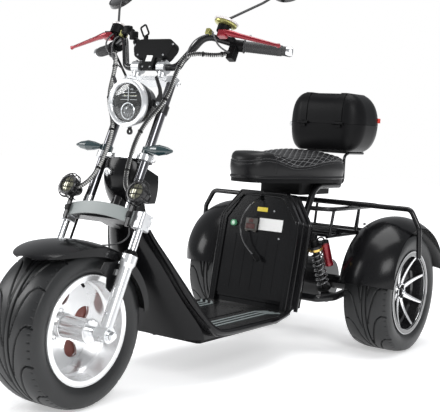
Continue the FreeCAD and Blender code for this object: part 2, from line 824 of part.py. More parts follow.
seat_base_z = 656.0
seat_rail_radius = 13.0


def seat_rail(radius):
    # from the deck up behind the battery and on to the rear under the seat
    height = seat_base_z - seat_gap - seat_rail_radius
    return tube([vec(80, belly_end + seat_gap, 136), vec(80, rear_y(-370), 136),
                 vec(110, rear_y(-305), pivot_z), vec(110, rear_y(-298), 452),
                 vec(110, rear_y(-195), height), vec(110, rear_y(4), height)],
                [50.0, 60.0, 80.0, 80.0], radius)


def rear_frame():
    rail = seat_rail(seat_rail_radius)
    bars = [rod(vec(-185, rear_y(-298), 452), vec(185, rear_y(-298), 452), 10.0),
            rod(vec(-190, pivot_y, pivot_z), vec(190, pivot_y, pivot_z), 15.0)]
    return fuse(both_sides(rail) + bars)


belly_end = rear_y(-515)


def belly_box():
    return rounded_block(-112.0, 112.0, front_y(524), belly_end, 119.0, deck_z - deck_thick - seat_gap, 14.0)


battery_lean = 11.0


def on_battery(shape):
    # the battery's front plane leans back; its origin is the lower middle of that plane
    placement = FreeCAD.Placement(vec(0, rear_y(-487), deck_z + seat_gap),
                                  FreeCAD.Rotation(X_AXIS, -battery_lean))
    copy = shape.copy()
    copy.Placement = placement.multiply(copy.Placement)
    return copy


def tombstone(half_low, half, shoulder, half_top, top, y0, y1, low=0.0):
    points = [vec(-half_low, y0, low), vec(half_low, y0, low), vec(half, y0, shoulder),
              vec(half_top, y0, top), vec(-half_top, y0, top), vec(-half, y0, shoulder)]
    return rounded_prism(points, [8.0, 8.0, 20.0, 16.0, 16.0, 20.0], vec(0, y1 - y0, 0))


def battery_case():
    return on_battery(tombstone(150.0, 150.0, 330.0, 86.0, 430.0, 6.0, 120.0, 34.0))


def battery_surround():
    outer = tombstone(176.0, 180.0, 336.0, 104.0, 446.0, 0.0, 110.0, -4.0)
    inner = tombstone(150.3, 150.3, 330.2, 86.2, 430.3, -1.0, 121.0, -60.0)
    below = box(-300, 300, rear_y(-730), rear_y(-130), 100.0, deck_z + seat_gap)
    return on_battery(outer.cut(inner)).cut(below)


def battery_trim():
    # charging socket, fuse box, two blank plates and the round lamp on the battery's face
    skin = 6.0 - seat_gap
    points = lead_points()
    inward = (points[0] - points[1]).normalize()
    gland = rod(points[0], points[0] + inward * 30.0, 7.0).cut(box(-100, 100, skin, 60, 300, 500))
    fuse_box = rounded_prism([vec(-56, -8, 287), vec(-4, -8, 287), vec(-4, -8, 337), vec(-56, -8, 337)],
                             [5.0] * 4, vec(0, skin + 8.0, 0))
    fuse_lid = rounded_prism([vec(-50, -12, 294), vec(-10, -12, 294), vec(-10, -12, 314),
                              vec(-50, -12, 314)], [4.0] * 4, vec(0, 5.0, 0))
    white_plate = box(0, 136, skin - 1.2, skin, 296, 341)
    yellow_plate = box(-20, 72, skin - 1.2, skin, 367, 382)
    lamp = rod(vec(-114, -3.0, 311), vec(-114, skin, 311), 11.0)
    return on_battery(apart([gland, fuse([fuse_box, fuse_lid]), white_plate, yellow_plate, lamp]))


# the charge lead hangs from the battery's face to its free plug; points in the battery's own axes

lead_radius = 3.0


def lead_points():
    return [vec(-8, -6, 414), vec(-14, -36, 400), vec(-38, -40, 362), vec(-60, -34, 326), vec(-60, -30, 284),
            vec(-42, -28, 246), vec(-16, -26, 216), vec(10, -22, 196)]


def lead_radii():
    # each bend takes 0.45 of its shorter run
    points = lead_points()
    radii = []
    for index in range(1, len(points) - 1):
        back = points[index - 1] - points[index]
        ahead = points[index + 1] - points[index]
        turn = math.pi - back.getAngle(ahead)
        radii.append(0.45 * min(back.Length, ahead.Length) / math.tan(turn / 2.0))
    return radii


def charge_lead():
    return on_battery(tube(lead_points(), lead_radii(), lead_radius))


def charge_plug():
    points = lead_points()
    end = points[-1]
    along = (end - points[-2]).normalize()
    sleeve = rod(end, end + along * 10.0, 5.0)
    body = rod(end + along * 10.0, end + along * 34.0, 7.5)
    return on_battery(fuse([sleeve, body]))


def seat_outline(z, inset):
    # plan of the seat: round nose, waist and a broad rear
    nose = rear_y(-570) + inset
    back = rear_y(22) - inset
    right = [vec(98 - inset, rear_y(-480), z), vec(126 - inset, rear_y(-380), z),
             vec(158 - inset, rear_y(-230), z), vec(164 - inset, rear_y(-110), z),
             vec(150 - inset, rear_y(-30), z)]
    left = [vec(-p.x, p.y, z) for p in right]
    left.reverse()
    curve = Part.BSplineCurve()
    curve.interpolate([vec(0, nose, z), vec(62 - inset, rear_y(-548), z)] + right
                      + [vec(90, back - 8, z), vec(0, back, z), vec(-90, back - 8, z)]
                      + left + [vec(-62 + inset, rear_y(-548), z)], True)
    return Part.Wire([curve.toShape()])


def seat_base():
    return Part.Face(seat_outline(seat_base_z, 8.0)).extrude(vec(0, 0, 14.0))


def seat_cushion():
    # upright sides from the plan, cut above by the saddle shaped top
    low = 670.0 + seat_gap
    body = Part.Face(seat_outline(low, 0.0)).extrude(vec(0, 0, 200))
    def crown(y, edge, top):
        return Part.Arc(vec(-185, y, edge), vec(0, y, top), vec(185, y, edge)).toShape()
    ribs = [crown(rear_y(-600), 700, 730), crown(rear_y(-550), 745, 770), crown(rear_y(-490), 748, 776),
            crown(rear_y(-390), 728, 756), crown(rear_y(-290), 742, 772), crown(rear_y(-210), 752, 785),
            crown(rear_y(-90), 752, 782), crown(rear_y(-10), 738, 765), crown(rear_y(50), 715, 735)]
    wires = []
    for rib in ribs:
        a = rib.Vertexes[0].Point
        b = rib.Vertexes[-1].Point
        a0 = vec(a.x, a.y, 600)
        b0 = vec(b.x, b.y, 600)
        wires.append(Part.Wire([rib, Part.makeLine(b, b0), Part.makeLine(b0, a0), Part.makeLine(a0, a)]))
    return body.common(Part.makeLoft(wires, True, False))


def underseat_box():
    return rounded_block(-95, 95, rear_y(-282), rear_y(-40), 606.0, seat_base_z - seat_gap, 12.0)


lid_seam = 897.0
box_low = lid_seam - 115.0
box_front = rear_y(18)
box_back = tail_y - 6.0
hinge_radius = 6.0
hinge_y = box_front - hinge_radius - 2.0
hinge_z = lid_seam


box_half = 176.0
box_wall = 4.0
box_front_corner = 80.0
box_rear_corner = 130.0
hinge_leaf = 24.0
hinge_x = box_half - box_front_corner - hinge_leaf / 2.0
box_rib_width = 26.0
box_rib_height = 3.0


def box_section(z, side, front, back):
    # level outline of the top box, drawn in by its own inset at the sides, front and back
    half = box_half - side
    y0 = box_front + front
    y1 = box_back - back
    points = [vec(-half, y0, z), vec(half, y0, z), vec(half, y1, z), vec(-half, y1, z)]
    front_corner = box_front_corner - side
    rear_corner = box_rear_corner - side
    return rounded_outline(points, [front_corner, front_corner, rear_corner, rear_corner])


def tray_outer():
    return Part.makeLoft([
        box_section(box_low, 56.0, 26.0, 58.0),
        box_section(lid_seam - 91.0, 24.0, 8.0, 28.0),
        box_section(lid_seam - 47.0, 6.0, 1.0, 6.0),
        box_section(lid_seam - 1.0, 0.0, 0.0, 0.0)], True, False)


def tray_inner():
    w = box_wall
    return Part.makeLoft([
        box_section(lid_seam - 109.0, 58.0, 32.0, 64.0),
        box_section(lid_seam - 89.0, 24.0 + w, 8.0 + w, 28.0 + w),
        box_section(lid_seam - 47.0, 6.0 + w, 1.0 + w, 6.0 + w),
        box_section(lid_seam + 1.0, w, w, w)], True, False)


def lid_outer(grow=0.0):
    return Part.makeLoft([
        box_section(lid_seam, -grow, -grow, -grow),
        box_section(lid_seam + 53.0, 5.0 - grow, 3.0 - grow, 8.0 - grow),
        box_section(lid_seam + 99.0, 24.0 - grow, 14.0 - grow, 34.0 - grow),
        box_section(lid_seam + 127.0 + grow, 60.0 - grow, 40.0 - grow, 70.0 - grow)], True, False)


def lid_inner():
    w = box_wall
    return Part.makeLoft([
        box_section(lid_seam - 1.0, w, w, w),
        box_section(lid_seam + 53.0, 5.0 + w, 3.0 + w, 8.0 + w),
        box_section(lid_seam + 96.0, 24.0 + w, 14.0 + w, 34.0 + w),
        box_section(lid_seam + 121.0, 62.0, 44.0, 74.0)], True, False)


def hinge_barrel(x0, x1):
    return rod(vec(x0, hinge_y, hinge_z), vec(x1, hinge_y, hinge_z), hinge_radius)


def box_tray():
    half = hinge_leaf / 2.0
    parts = [tray_outer().cut(tray_inner())]
    for x in (-hinge_x, hinge_x):
        leaf = box(x - half, x + half, hinge_y, box_front + box_wall / 2.0, hinge_z - 16.0, hinge_z - 1.0)
        parts.append(fuse([leaf, hinge_barrel(x - half, x + half)]))
    return fuse(parts)


def lid_rib(x):
    # raised band over the lid in line with its hinge
    half = box_rib_width / 2.0
    low = lid_seam + hinge_radius + 4.0
    band = box(x - half, x + half, box_front - 20.0, box_back - 30.0, low, lid_seam + 200.0)
    return lid_outer(box_rib_height).common(band)


def box_lid():
    half = hinge_leaf / 2.0
    shell = fuse([lid_outer(), lid_rib(-hinge_x), lid_rib(hinge_x)]).cut(lid_inner())
    parts = [shell]
    for x in (-hinge_x, hinge_x):
        for x0 in (x - half - 12.5, x + half + 0.5):
            leaf = box(x0, x0 + 12.0, hinge_y, box_front + box_wall, hinge_z + 1.0, hinge_z + hinge_radius)
            leaf = leaf.cut(lid_inner())
            parts.append(fuse([hinge_barrel(x0, x0 + 12.0), leaf]))
    return fuse(parts)


def box_reflector():
    low = lid_seam + 14.0
    outer = box_section(low, -4.0, 0.0, box_back - tail_y)
    inner = box_section(low, -0.6, -4.0, -0.6)
    ring = Part.Face(outer).extrude(vec(0, 0, 16)).cut(Part.Face(inner).extrude(vec(0, 0, 16)))
    half = box_half - 26.0
    return ring.common(box(-half, half, box_back - 60.0, tail_y + 20.0, low - 1.0, low + 17.0))


def box_support():
    # two bent legs that carry the box on their upper runs
    radius = 6.0
    high = box_low - radius - 0.5
    leg = tube([vec(100, rear_y(5), 648), vec(100, rear_y(61), 652), vec(100, rear_y(60), high - 11.5),
                vec(100, rear_y(100), high), vec(100, rear_y(230), high)], [16.0, 24.0, 24.0], radius)
    cross = rod(vec(-100, rear_y(230), high), vec(100, rear_y(230), high), radius)
    return fuse(both_sides(leg) + [cross])


rack_z = 556.0
rack_low_z = 446.0


def rear_rack():
    rim = tube([vec(0, rear_y(225), rack_z), vec(200, rear_y(225), rack_z), vec(200, rear_y(-210), rack_z),
                vec(112, rear_y(-242), rack_z)], [40.0, 40.0], 9.0)
    floor = tube([vec(0, rear_y(210), rack_low_z), vec(185, rear_y(210), rack_low_z),
                  vec(185, rear_y(-210), rack_low_z)], [30.0], 7.0)
    posts = [rod(vec(105, rear_y(225), rack_z), vec(105, rear_y(210), rack_low_z), 6.0),
             rod(vec(200, rear_y(30), rack_z), vec(185, rear_y(30), rack_low_z), 6.0),
             rod(vec(200, rear_y(-190), rack_z), vec(185, rear_y(-190), rack_low_z), 6.0)]
    halves = []
    for shape in [rim, floor] + posts:
        halves = halves + both_sides(shape)
    stay = box(184.0, 267.7, rear_y(-120), rear_y(-100), rack_low_z + 14.0, rack_low_z + 28.0)
    foot = box(178.0, 192.0, rear_y(-120), rear_y(-100), rack_low_z, rack_low_z + 28.0)
    halves = halves + both_sides(stay) + both_sides(foot)
    slats = [rod(vec(-185, rear_y(d), rack_low_z), vec(185, rear_y(d), rack_low_z), 6.0)
             for d in (-170.0, -80.0, 10.0, 100.0)]
    return fuse(halves + slats).cut(both_sides(seat_rail(seat_rail_radius + seat_gap)))


def guard_hoop():
    high = rack_z + 19.0 + seat_gap
    half = tube([vec(0, rear_y(-68), high), vec(470, rear_y(-68), high), vec(510, rear_y(-68), 505),
                 vec(516, rear_y(-68), 390)], [30.0, 30.0], 10.0)
    return fuse(both_sides(half))


def rear_fender():
    def section(angle, radius, inner_drop, outer_drop, x0=268.0, x1=490.0):
        t = math.radians(angle)
        out = vec(0, math.sin(t), math.cos(t))
        centre = vec(0, rear_axle_y, tyre_radius)
        skin = 4.0
        a = centre + vec(x0, 0, 0) + out * (radius - inner_drop)
        m = centre + vec((x0 + x1) / 2.0, 0, 0) + out * radius
        b = centre + vec(x1, 0, 0) + out * (radius - outer_drop)
        b2 = centre + vec(x1 - skin, 0, 0) + out * (radius - outer_drop)
        m2 = centre + vec((x0 + x1) / 2.0, 0, 0) + out * (radius - skin)
        a2 = centre + vec(x0 + skin, 0, 0) + out * (radius - inner_drop)
        return Part.Wire([Part.Arc(a, m, b).toShape(), Part.makeLine(b, b2),
                          Part.Arc(b2, m2, a2).toShape(), Part.makeLine(a2, a)])
    over = tyre_radius + 47.5
    sections = [
        section(-80.0, over, 40.0, 62.0),
        section(-50.0, over + 8.0, 44.0, 42.0),
        section(-15.0, over + 12.0, 46.0, 38.0),
        section(20.0, over + 14.0, 46.0, 38.0),
        section(50.0, over + 22.0, 46.0, 38.0),
        section(76.0, over + 32.0, 40.0, 34.0)]
    return Part.makeLoft(sections, True, False)


axle_stub_radius = 15.0
shock_pin_radius = 8.0
shock_low = vec(200, rear_y(-223), 224)
shock_high = vec(172, rear_y(-298), 452)


def rear_axle_housing():
    # drive case between two trailing arms, with the wheel stubs
    y = rear_axle_y
    z = tyre_radius
    reach = rear_tyre_x - rear_wheel_hub_reach + 20.0 - 0.5
    case = rod(vec(-95, y, z), vec(95, y, z), 92.0)
    arms = rod(vec(-reach, y, z), vec(reach, y, z), 28.0)
    stub_end = rear_tyre_x + rear_bore_end - 2.0
    stub = rod(vec(-stub_end, y, z), vec(stub_end, y, z), axle_stub_radius)
    trailing = tube([vec(190.3, pivot_y, pivot_z), vec(212, pivot_y, pivot_z), vec(248, rear_y(-238), 218),
                     vec(246, y, z)], [20.0, 60.0], 15.0)
    pin = rod(shock_low - vec(14, 0, 0), shock_low + vec(44, 0, 0), shock_pin_radius)
    return fuse([case, arms, stub] + both_sides(trailing) + both_sides(pin))


def along_shock(fraction):
    return shock_low + (shock_high - shock_low) * fraction


def shock_bodies():
    # damper tube with its eyes, the red reservoir beside the top
    rodpart = rod(along_shock(0.04), along_shock(0.55), 7.0)
    tubepart = rod(along_shock(0.5), along_shock(0.94), 14.0)
    low_eye = rod(shock_low - vec(12, 0, 0), shock_low + vec(12, 0, 0), 14.0)
    high_eye = rod(shock_high - vec(12, 0, 0), shock_high + vec(12, 0, 0), 15.0)
    seat_low = rod(along_shock(0.08), along_shock(0.12), 27.0)
    seat_high = rod(along_shock(0.80), along_shock(0.84), 27.0)
    bridge = rod(along_shock(0.9), along_shock(0.9) + vec(26, 38, 0), 8.0)
    pot = rod(along_shock(0.92) + vec(26, 38, 0), along_shock(0.5) + vec(26, 38, 0), 16.0)
    body = fuse([rodpart, tubepart, low_eye, high_eye, seat_low, seat_high, bridge, pot])
    body = body.cut([rod(shock_low - vec(20, 0, 0), shock_low + vec(20, 0, 0), shock_pin_radius + seat_gap),
                     rod(shock_high - vec(20, 0, 0), shock_high + vec(20, 0, 0), 10.0 + seat_gap)])
    return apart(both_sides(body))


spring_radius = 21.5
spring_wire = 3.2
spring_turns = 8.0


def shock_springs():
    # coil spring round each damper, held between its two seats
    start = along_shock(0.12)
    end = along_shock(0.80)
    axis = end - start
    margin = spring_wire + seat_gap
    reach = axis.Length - 2.0 * margin
    path = Part.makeHelix(reach / spring_turns, reach, spring_radius)
    section = Part.Wire(Part.makeCircle(spring_wire, vec(spring_radius, 0, 0), vec(0, 1, 0)))
    coil = Part.Wire(path.Edges).makePipeShell([section], True, True)
    coil = moved(coil, vec(0, 0, margin))
    coil.Placement = FreeCAD.Placement(start, FreeCAD.Rotation(Z_AXIS, axis)).multiply(coil.Placement)
    return apart(both_sides(coil))


def cable_looms():
    # from each switch pod down in front of the bar, beside the lamp and on to the spotlight
    points = [vec(245, 46, 966), vec(238, 20, 925), vec(150, -44, 905), vec(128, -44, 850),
              vec(122, -36, 740), vec(50, -34, 640), vec(54, -33, 500), vec(84, -42, 432),
              vec(108.8, -44, 426)]
    loom = tube(points, [30.0, 30.0, 60.0, 60.0, 60.0, 60.0, 24.0], 7.0)
    return apart(both_sides(loom.cut(switch_pod(seat_gap))))


def front_brake():
    # caliper over the disc, its arm on the right leg and the hose up to the right reservoir
    gap = 1.5
    inner = disc_x + disc_thick + gap
    block = box(-72.0, -40.0, 58.0, disc_radius + 12.0, 22.0, 60.0)
    slot = box(disc_x - gap, inner, 50.0, disc_radius + gap, 0.0, 80.0)
    arm = box(-128.0, -71.0, 68.0, 88.0, 30.0, 50.0)
    plate = box(19.0 + seat_gap - fork_leg_x, -122.0, 0.0, 88.0, 30.0, 50.0)
    hose = tube([vec(-126, 52, 49), vec(-126, 52, 110), vec(-140, 36, 190), vec(-140, 36, 420),
                 vec(-113, 24, 520), vec(-113, 24, 830), vec(-213, -10, 950),
                 vec(-213, -10, pot_low - seat_gap)], [50.0, 50.0, 60.0, 60.0, 60.0, 30.0], 4.0)
    return fuse([block.cut(slot), arm, plate, hose])


def export(name, shape):
    shape.exportStep("parts/" + name + ".step")
    solids = shape.Solids
    print(name, len(solids), round(sum(s.Volume for s in solids) / 1000.0, 1), shape.isValid())


def place_wheel(shape, x, y, flip):
    turned_shape = mirrored(shape) if flip else shape
    return moved(turned_shape, vec(x, y, tyre_radius))


export("front_tyre", place_wheel(tyre(), 0, front_axle_y, False))
export("front_rim", place_wheel(front_rim(), 0, front_axle_y, False))
export("brake_disc", place_wheel(brake_disc(), 0, front_axle_y, False))
export("rear_tyre_left", place_wheel(tyre(), rear_tyre_x, rear_axle_y, False))
export("rear_tyre_right", place_wheel(tyre(), -rear_tyre_x, rear_axle_y, True))
export("rear_rim_left", place_wheel(rear_rim(), rear_tyre_x, rear_axle_y, False))
export("rear_rim_right", place_wheel(rear_rim(), -rear_tyre_x, rear_axle_y, True))
export("fork_legs", on_fork(fork_legs()))
export("stanchions", on_fork(stanchions()))
export("lower_clamp", on_fork(lower_clamp()))
export("clamp_band", on_fork(clamp_band()))
export("fork_yoke", on_fork(yoke()))
export("top_crown", on_fork(top_crown()))
export("handlebar", on_fork(handlebar()))
export("grips", on_fork(grips()))
export("controls", on_fork(controls()))
export("levers", on_fork(levers()))
export("mirrors", on_fork(mirrors()))
export("dash", on_fork(dash()))
export("headlight_shell", apart([lamp_place(headlight()), on_fork(headlight_ears())]))
export("headlight_lens", lamp_place(headlight_lens()))
export("turn_signals", on_fork(turn_signals()))
export("spotlights", on_fork(spotlights()))
export("front_axle", on_fork(front_axle()))
fender_in_place = moved(front_fender(), vec(0, front_axle_y, tyre_radius))
export("front_fender", apart([fender_in_place, on_fork(fender_stays())]))
export("footboard", footboard())
export("downtube_cover", downtube_cover())
export("neck_cover", neck_cover())
export("head_frame", head_frame())
export("rear_frame", rear_frame())
export("neck_lock", lock())
export("belly_box", belly_box())
export("battery_case", battery_case())
export("battery_surround", battery_surround())
export("seat_cushion", seat_cushion())
export("underseat_box", apart([seat_base(), underseat_box()]))
export("box_tray", box_tray())
export("box_lid", box_lid())
export("box_reflector", box_reflector())
export("box_support", box_support())
export("rear_rack", rear_rack())
export("guard_hoop", guard_hoop())
export("rear_fenders", apart([rear_fender(), mirrored(rear_fender())]))
export("rear_axle_housing", rear_axle_housing())
export("shock_bodies", shock_bodies())
export("shock_springs", shock_springs())
export("cable_looms", on_fork(cable_looms()))
export("front_brake", on_fork(front_brake()))
export("battery_trim", battery_trim())
export("charge_lead", charge_lead())
export("charge_plug", charge_plug())
print("lead bends", [round(radius, 1) for radius in lead_radii()])
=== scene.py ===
import math
from functools import cache

import bmesh
import bpy
import numpy as np
from bpy.props import FloatProperty, FloatVectorProperty, IntProperty, PointerProperty
from mathutils import Matrix, Vector


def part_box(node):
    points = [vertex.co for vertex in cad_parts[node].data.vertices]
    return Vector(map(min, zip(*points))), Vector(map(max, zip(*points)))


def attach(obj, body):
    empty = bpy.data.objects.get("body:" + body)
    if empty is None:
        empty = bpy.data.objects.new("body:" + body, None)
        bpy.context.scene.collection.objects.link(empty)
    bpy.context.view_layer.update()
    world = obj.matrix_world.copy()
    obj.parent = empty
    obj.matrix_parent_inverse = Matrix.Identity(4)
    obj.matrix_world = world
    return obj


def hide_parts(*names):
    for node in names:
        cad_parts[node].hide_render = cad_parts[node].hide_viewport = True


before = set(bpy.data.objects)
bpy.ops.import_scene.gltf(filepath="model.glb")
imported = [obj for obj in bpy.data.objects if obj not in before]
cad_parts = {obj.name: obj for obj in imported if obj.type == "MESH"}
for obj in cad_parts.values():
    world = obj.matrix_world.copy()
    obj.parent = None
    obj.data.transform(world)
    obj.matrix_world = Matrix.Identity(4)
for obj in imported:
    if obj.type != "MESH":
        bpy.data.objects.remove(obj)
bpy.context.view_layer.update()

bl_info = {
    "name": "Motorized trike studio dressing",
    "version": (1, 0, 0),
    "blender": (4, 5, 0),
    "location": "3D View > Sidebar > Trike",
    "description": "Dresses the trike's frame with tyres, seat, lamps, cables and finishes",
    "category": "Object",
}

TAU = 2.0 * math.pi


# places read from the frame

def middle(node):
    low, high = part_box(node)
    return (low + high) / 2.0


FRONT_HUB = middle("front_tyre")
LEFT_HUB = middle("rear_tyre_left")
RIGHT_HUB = middle("rear_tyre_right")
TYRE_RADIUS = (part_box("front_tyre")[1].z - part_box("front_tyre")[0].z) / 2.0
TYRE_HALF = (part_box("front_tyre")[1].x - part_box("front_tyre")[0].x) / 2.0
RAKE = math.radians(24.5)
BATTERY_LEAN = math.radians(11.0)
BATTERY_FOOT = (LEFT_HUB.y - 0.487, 0.1803)
LAMP = (FRONT_HUB.y + 0.228, 0.914)
UP, AHEAD, BEHIND = (0.0, 0.0, 1.0), (0.0, -1.0, 0.0), (0.0, 1.0, 0.0)
LEFTWARD, RIGHTWARD = (1.0, 0.0, 0.0), (-1.0, 0.0, 0.0)
BOTH_SIDES = (-1.0, 1.0)


def mm(points):
    """Points typed in millimetres, as metres."""
    return np.asarray(points, float) / 1000.0


def unit(vectors):
    """The same directions with length one."""
    vectors = np.asarray(vectors, float)
    return vectors / np.linalg.norm(vectors, axis=-1, keepdims=True)


def turns(count):
    """Equal turns round a circle, the first at nought."""
    return np.linspace(0.0, TAU, count, endpoint=False)


def run_length(line):
    """Length run along a line at each of its points."""
    return np.concatenate([[0.0], np.cumsum(np.linalg.norm(np.diff(line, axis=0), axis=1))])


def at_length(where, gone, line):
    """The line's points at some run lengths, with gone as the run length at each point it is given by."""
    return np.stack([np.interp(where, gone, line[:, k]) for k in range(line.shape[1])], axis=-1)


def leaned(points, foot, angle):
    """Turns points about X so that their Z leans back by the angle, from a foot at (y, z)."""
    p = np.asarray(points, float)
    y = foot[0] + p[..., 1] * math.cos(angle) + p[..., 2] * math.sin(angle)
    z = foot[1] - p[..., 1] * math.sin(angle) + p[..., 2] * math.cos(angle)
    return np.stack([p[..., 0], y, z], axis=-1)


def on_fork(points):
    """Fork line to part frame: X stays, Y is square to the fork, Z runs up it from the front axle."""
    return leaned(points, (FRONT_HUB.y, FRONT_HUB.z), RAKE)


def on_battery(points):
    """Battery axes to part frame: Y goes into its face and Z runs up the face from the deck."""
    return leaned(points, BATTERY_FOOT, BATTERY_LEAN)


def placed(shape, place):
    """The same shape with its points sent through a placing function."""
    points, faces, uvs = shape
    return place(points), faces, uvs


def mirrored(shape):
    """The same shape on the other side of the trike, its faces kept facing outwards."""
    points, faces, uvs = shape
    return points * [-1.0, 1.0, 1.0], [face[::-1] for face in faces], uvs


# surfaces worked out with numpy: each is (points, faces, corner uvs)

def grid(points, wrap_u=False, wrap_v=False, cap_start=False, cap_end=False):
    """Quads over a grid of points (rows u, columns v); a wrapped direction joins its last line to its first."""
    rows, cols = points.shape[:2]
    index = np.arange(rows * cols).reshape(rows, cols)
    u, v = np.meshgrid(np.arange(rows), np.arange(cols), indexing="ij")
    a, ua, va = (index, u, v) if wrap_u else (index[:-1], u[:-1], v[:-1])
    b = np.roll(index, -1, axis=0) if wrap_u else index[1:]
    if wrap_v:
        corners = [a, np.roll(a, -1, axis=1), np.roll(b, -1, axis=1), b]
    else:
        corners = [a[:, :-1], a[:, 1:], b[:, 1:], b[:, :-1]]
        ua, va = ua[:, :-1], va[:, :-1]
    quads = np.stack(corners, axis=-1).reshape(-1, 4)
    steps = np.array([[0, 0], [0, 1], [1, 1], [1, 0]], float)
    uv = np.stack([ua.ravel(), va.ravel()], axis=1)[:, None, :] + steps[None]
    uv = uv / np.array([max(rows - (not wrap_u), 1), max(cols - (not wrap_v), 1)], float)
    faces = quads.tolist()
    uvs = uv.reshape(-1, 2)
    for wanted, ring in ((cap_start, index[0, ::-1]), (cap_end, index[-1])):
        if wanted:
            faces.append(ring.tolist())
            uvs = np.concatenate([uvs, np.zeros((len(ring), 2))])
    return points.reshape(-1, 3), faces, uvs


def ring_frame(path, closed=False):
    """Tangent, side and normal at each point of a path: the side is the tangent crossed with the path's thin axis."""
    step = np.roll(path, -1, 0) - np.roll(path, 1, 0)
    if not closed:
        step[0] = path[1] - path[0]
        step[-1] = path[-1] - path[-2]
    tangent = unit(step)
    spread = np.linalg.eigh(np.cov((path - path.mean(0)).T))[1][:, 0]
    if np.abs(tangent @ spread).max() > 0.98:
        spread = np.eye(3)[np.argmin(np.abs(tangent).max(0))]
    side = unit(np.cross(tangent, spread))
    return tangent, side, np.cross(side, tangent)


def tube(path, radius, sides=16, closed=False):
    """A circle of the given radius (one value or one per point) carried along a path."""
    path = np.asarray(path, float)
    _, side, normal = ring_frame(path, closed)
    turn = turns(sides)
    reach = np.broadcast_to(np.asarray(radius, float), (len(path),))[:, None, None]
    ring = side[:, None] * np.cos(turn)[None, :, None] + normal[:, None] * np.sin(turn)[None, :, None]
    return grid(path[:, None] + ring * reach, wrap_u=closed, wrap_v=True, cap_start=not closed, cap_end=not closed)


def lathe(profile, origin, axis, count=48):
    """Profile of (distance along the axis, radius) turned round that axis through origin."""
    profile = np.asarray(profile, float)
    axis = unit(axis)
    helper = np.array([0.0, 0.0, 1.0]) if abs(axis[2]) < 0.9 else np.array([1.0, 0.0, 0.0])
    side = unit(np.cross(axis, helper))
    other = np.cross(axis, side)
    turn = turns(count)
    ring = side * np.cos(turn)[:, None] + other * np.sin(turn)[:, None]
    points = np.asarray(origin, float) + profile[:, 0, None, None] * axis + profile[:, 1, None, None] * ring[None]
    return grid(points, wrap_v=True)


def screw(place, axis, radius, height, sides=6, dome=0.3):
    """Bolt head: a prism with a bevelled top, standing on a surface at place along its normal."""
    profile = [(-0.001, 0.0), (-0.001, radius), (height * (1.0 - dome), radius), (height, radius * 0.82), (height, 0.0)]
    return lathe(profile, place, axis, sides)


def ring_of(count, radius, centre, axis_x, make, start=0.0):
    """Calls make(place, radial direction) at equal turns on a circle square to X round a centre."""
    made = []
    for turn in start + np.arange(count) * TAU / count:
        radial = np.array([0.0, math.sin(turn), math.cos(turn)])
        made.append(make(np.array(centre) + radius * radial + np.array([axis_x, 0.0, 0.0]), radial))
    return made


def block(low, high, bevel=0.0):
    """Box between two corners with its vertical edges and both ends bevelled."""
    low, high = np.minimum(low, high), np.maximum(low, high)
    centre, half = (low + high) / 2.0, (high - low) / 2.0
    edge = max(bevel, 1e-5)
    outline = round_rectangle(half[0], half[1], edge, 4)
    small = round_rectangle(half[0] - edge * 0.6, half[1] - edge * 0.6, edge * 0.6, 4)
    levels = [(small, -half[2]), (outline, -half[2] + edge * 0.6), (outline, half[2] - edge * 0.6), (small, half[2])]
    rows = [np.column_stack([flat, np.full(len(flat), z)]) + centre for flat, z in levels]
    return grid(np.stack(rows), wrap_v=True, cap_start=True, cap_end=True)


def stitches(path, normal, pitch, length, radius):
    """Thread ends along a line: a short tapered rod at every pitch, lifted off the surface by its radius."""
    path, normal = np.asarray(path, float), np.asarray(normal, float)
    gone = run_length(path)
    made = []
    for where in np.arange(pitch / 2.0, gone[-1], pitch):
        ends = where + length * np.array([-1.0 / 2.0, -1.0 / 3.0, 1.0 / 3.0, 1.0 / 2.0])
        lift = at_length(where, gone, normal) * np.array([[-0.3], [0.9], [0.9], [-0.3]]) * radius
        made.append(tube(at_length(ends, gone, path) + lift, radius, 6))
    return made


def smooth_values(x, xs, ys, soften=0.02):
    """Values through (xs, ys) along x, averaged over a short window so that no corner shows."""
    shifts = np.linspace(-soften, soften, 9)
    return sum(np.interp(x + shift, xs, ys) for shift in shifts) / len(shifts)


def smooth_line(points, count=24):
    """Quadratic B-spline through the run middles of a control polygon, starting and ending on its end points."""
    p = np.asarray(points, float)
    mid = (p[1:] + p[:-1]) / 2.0
    knots = np.concatenate([p[:1], mid[1:-1], p[-1:]])
    t = np.linspace(0.0, 1.0, count, endpoint=False)[:, None]
    spans = [(1 - t) ** 2 * knots[i] + 2 * t * (1 - t) * p[i + 1] + t ** 2 * knots[i + 1]
             for i in range(len(knots) - 1)]
    return np.concatenate(spans + [p[-1:]])


def slab(outline, origin, along, up, thick, rim=0.0):
    """Flat plate with a bevelled rim: outline points (a, b) on two directions, thick along their cross product."""
    o = np.asarray(outline, float)
    along, up = np.asarray(along, float), np.asarray(up, float)
    normal = np.cross(along, up)
    flat = np.asarray(origin, float) + o[:, :1] * along + o[:, 1:] * up
    inward = unit(o.mean(0) - o) * rim
    small = np.asarray(origin, float) + (o + inward)[:, :1] * along + (o + inward)[:, 1:] * up
    rows = [small, flat + normal * rim, flat + normal * (thick - rim), small + normal * thick]
    return grid(np.stack(rows), wrap_v=True, cap_start=True, cap_end=True)


def round_rectangle(half_a, half_b, radius, steps=6):
    """Outline of a rectangle with quarter-circle corners, going round once."""
    turn = np.linspace(0.0, TAU / 4.0, steps)
    corners = [(half_a - radius, half_b - radius, 0.0), (radius - half_a, half_b - radius, 1.0),
               (radius - half_a, radius - half_b, 2.0), (half_a - radius, radius - half_b, 3.0)]
    parts = [np.stack([x + radius * np.cos(turn + k * TAU / 4), y + radius * np.sin(turn + k * TAU / 4)], axis=1)
             for x, y, k in corners]
    return np.concatenate(parts)


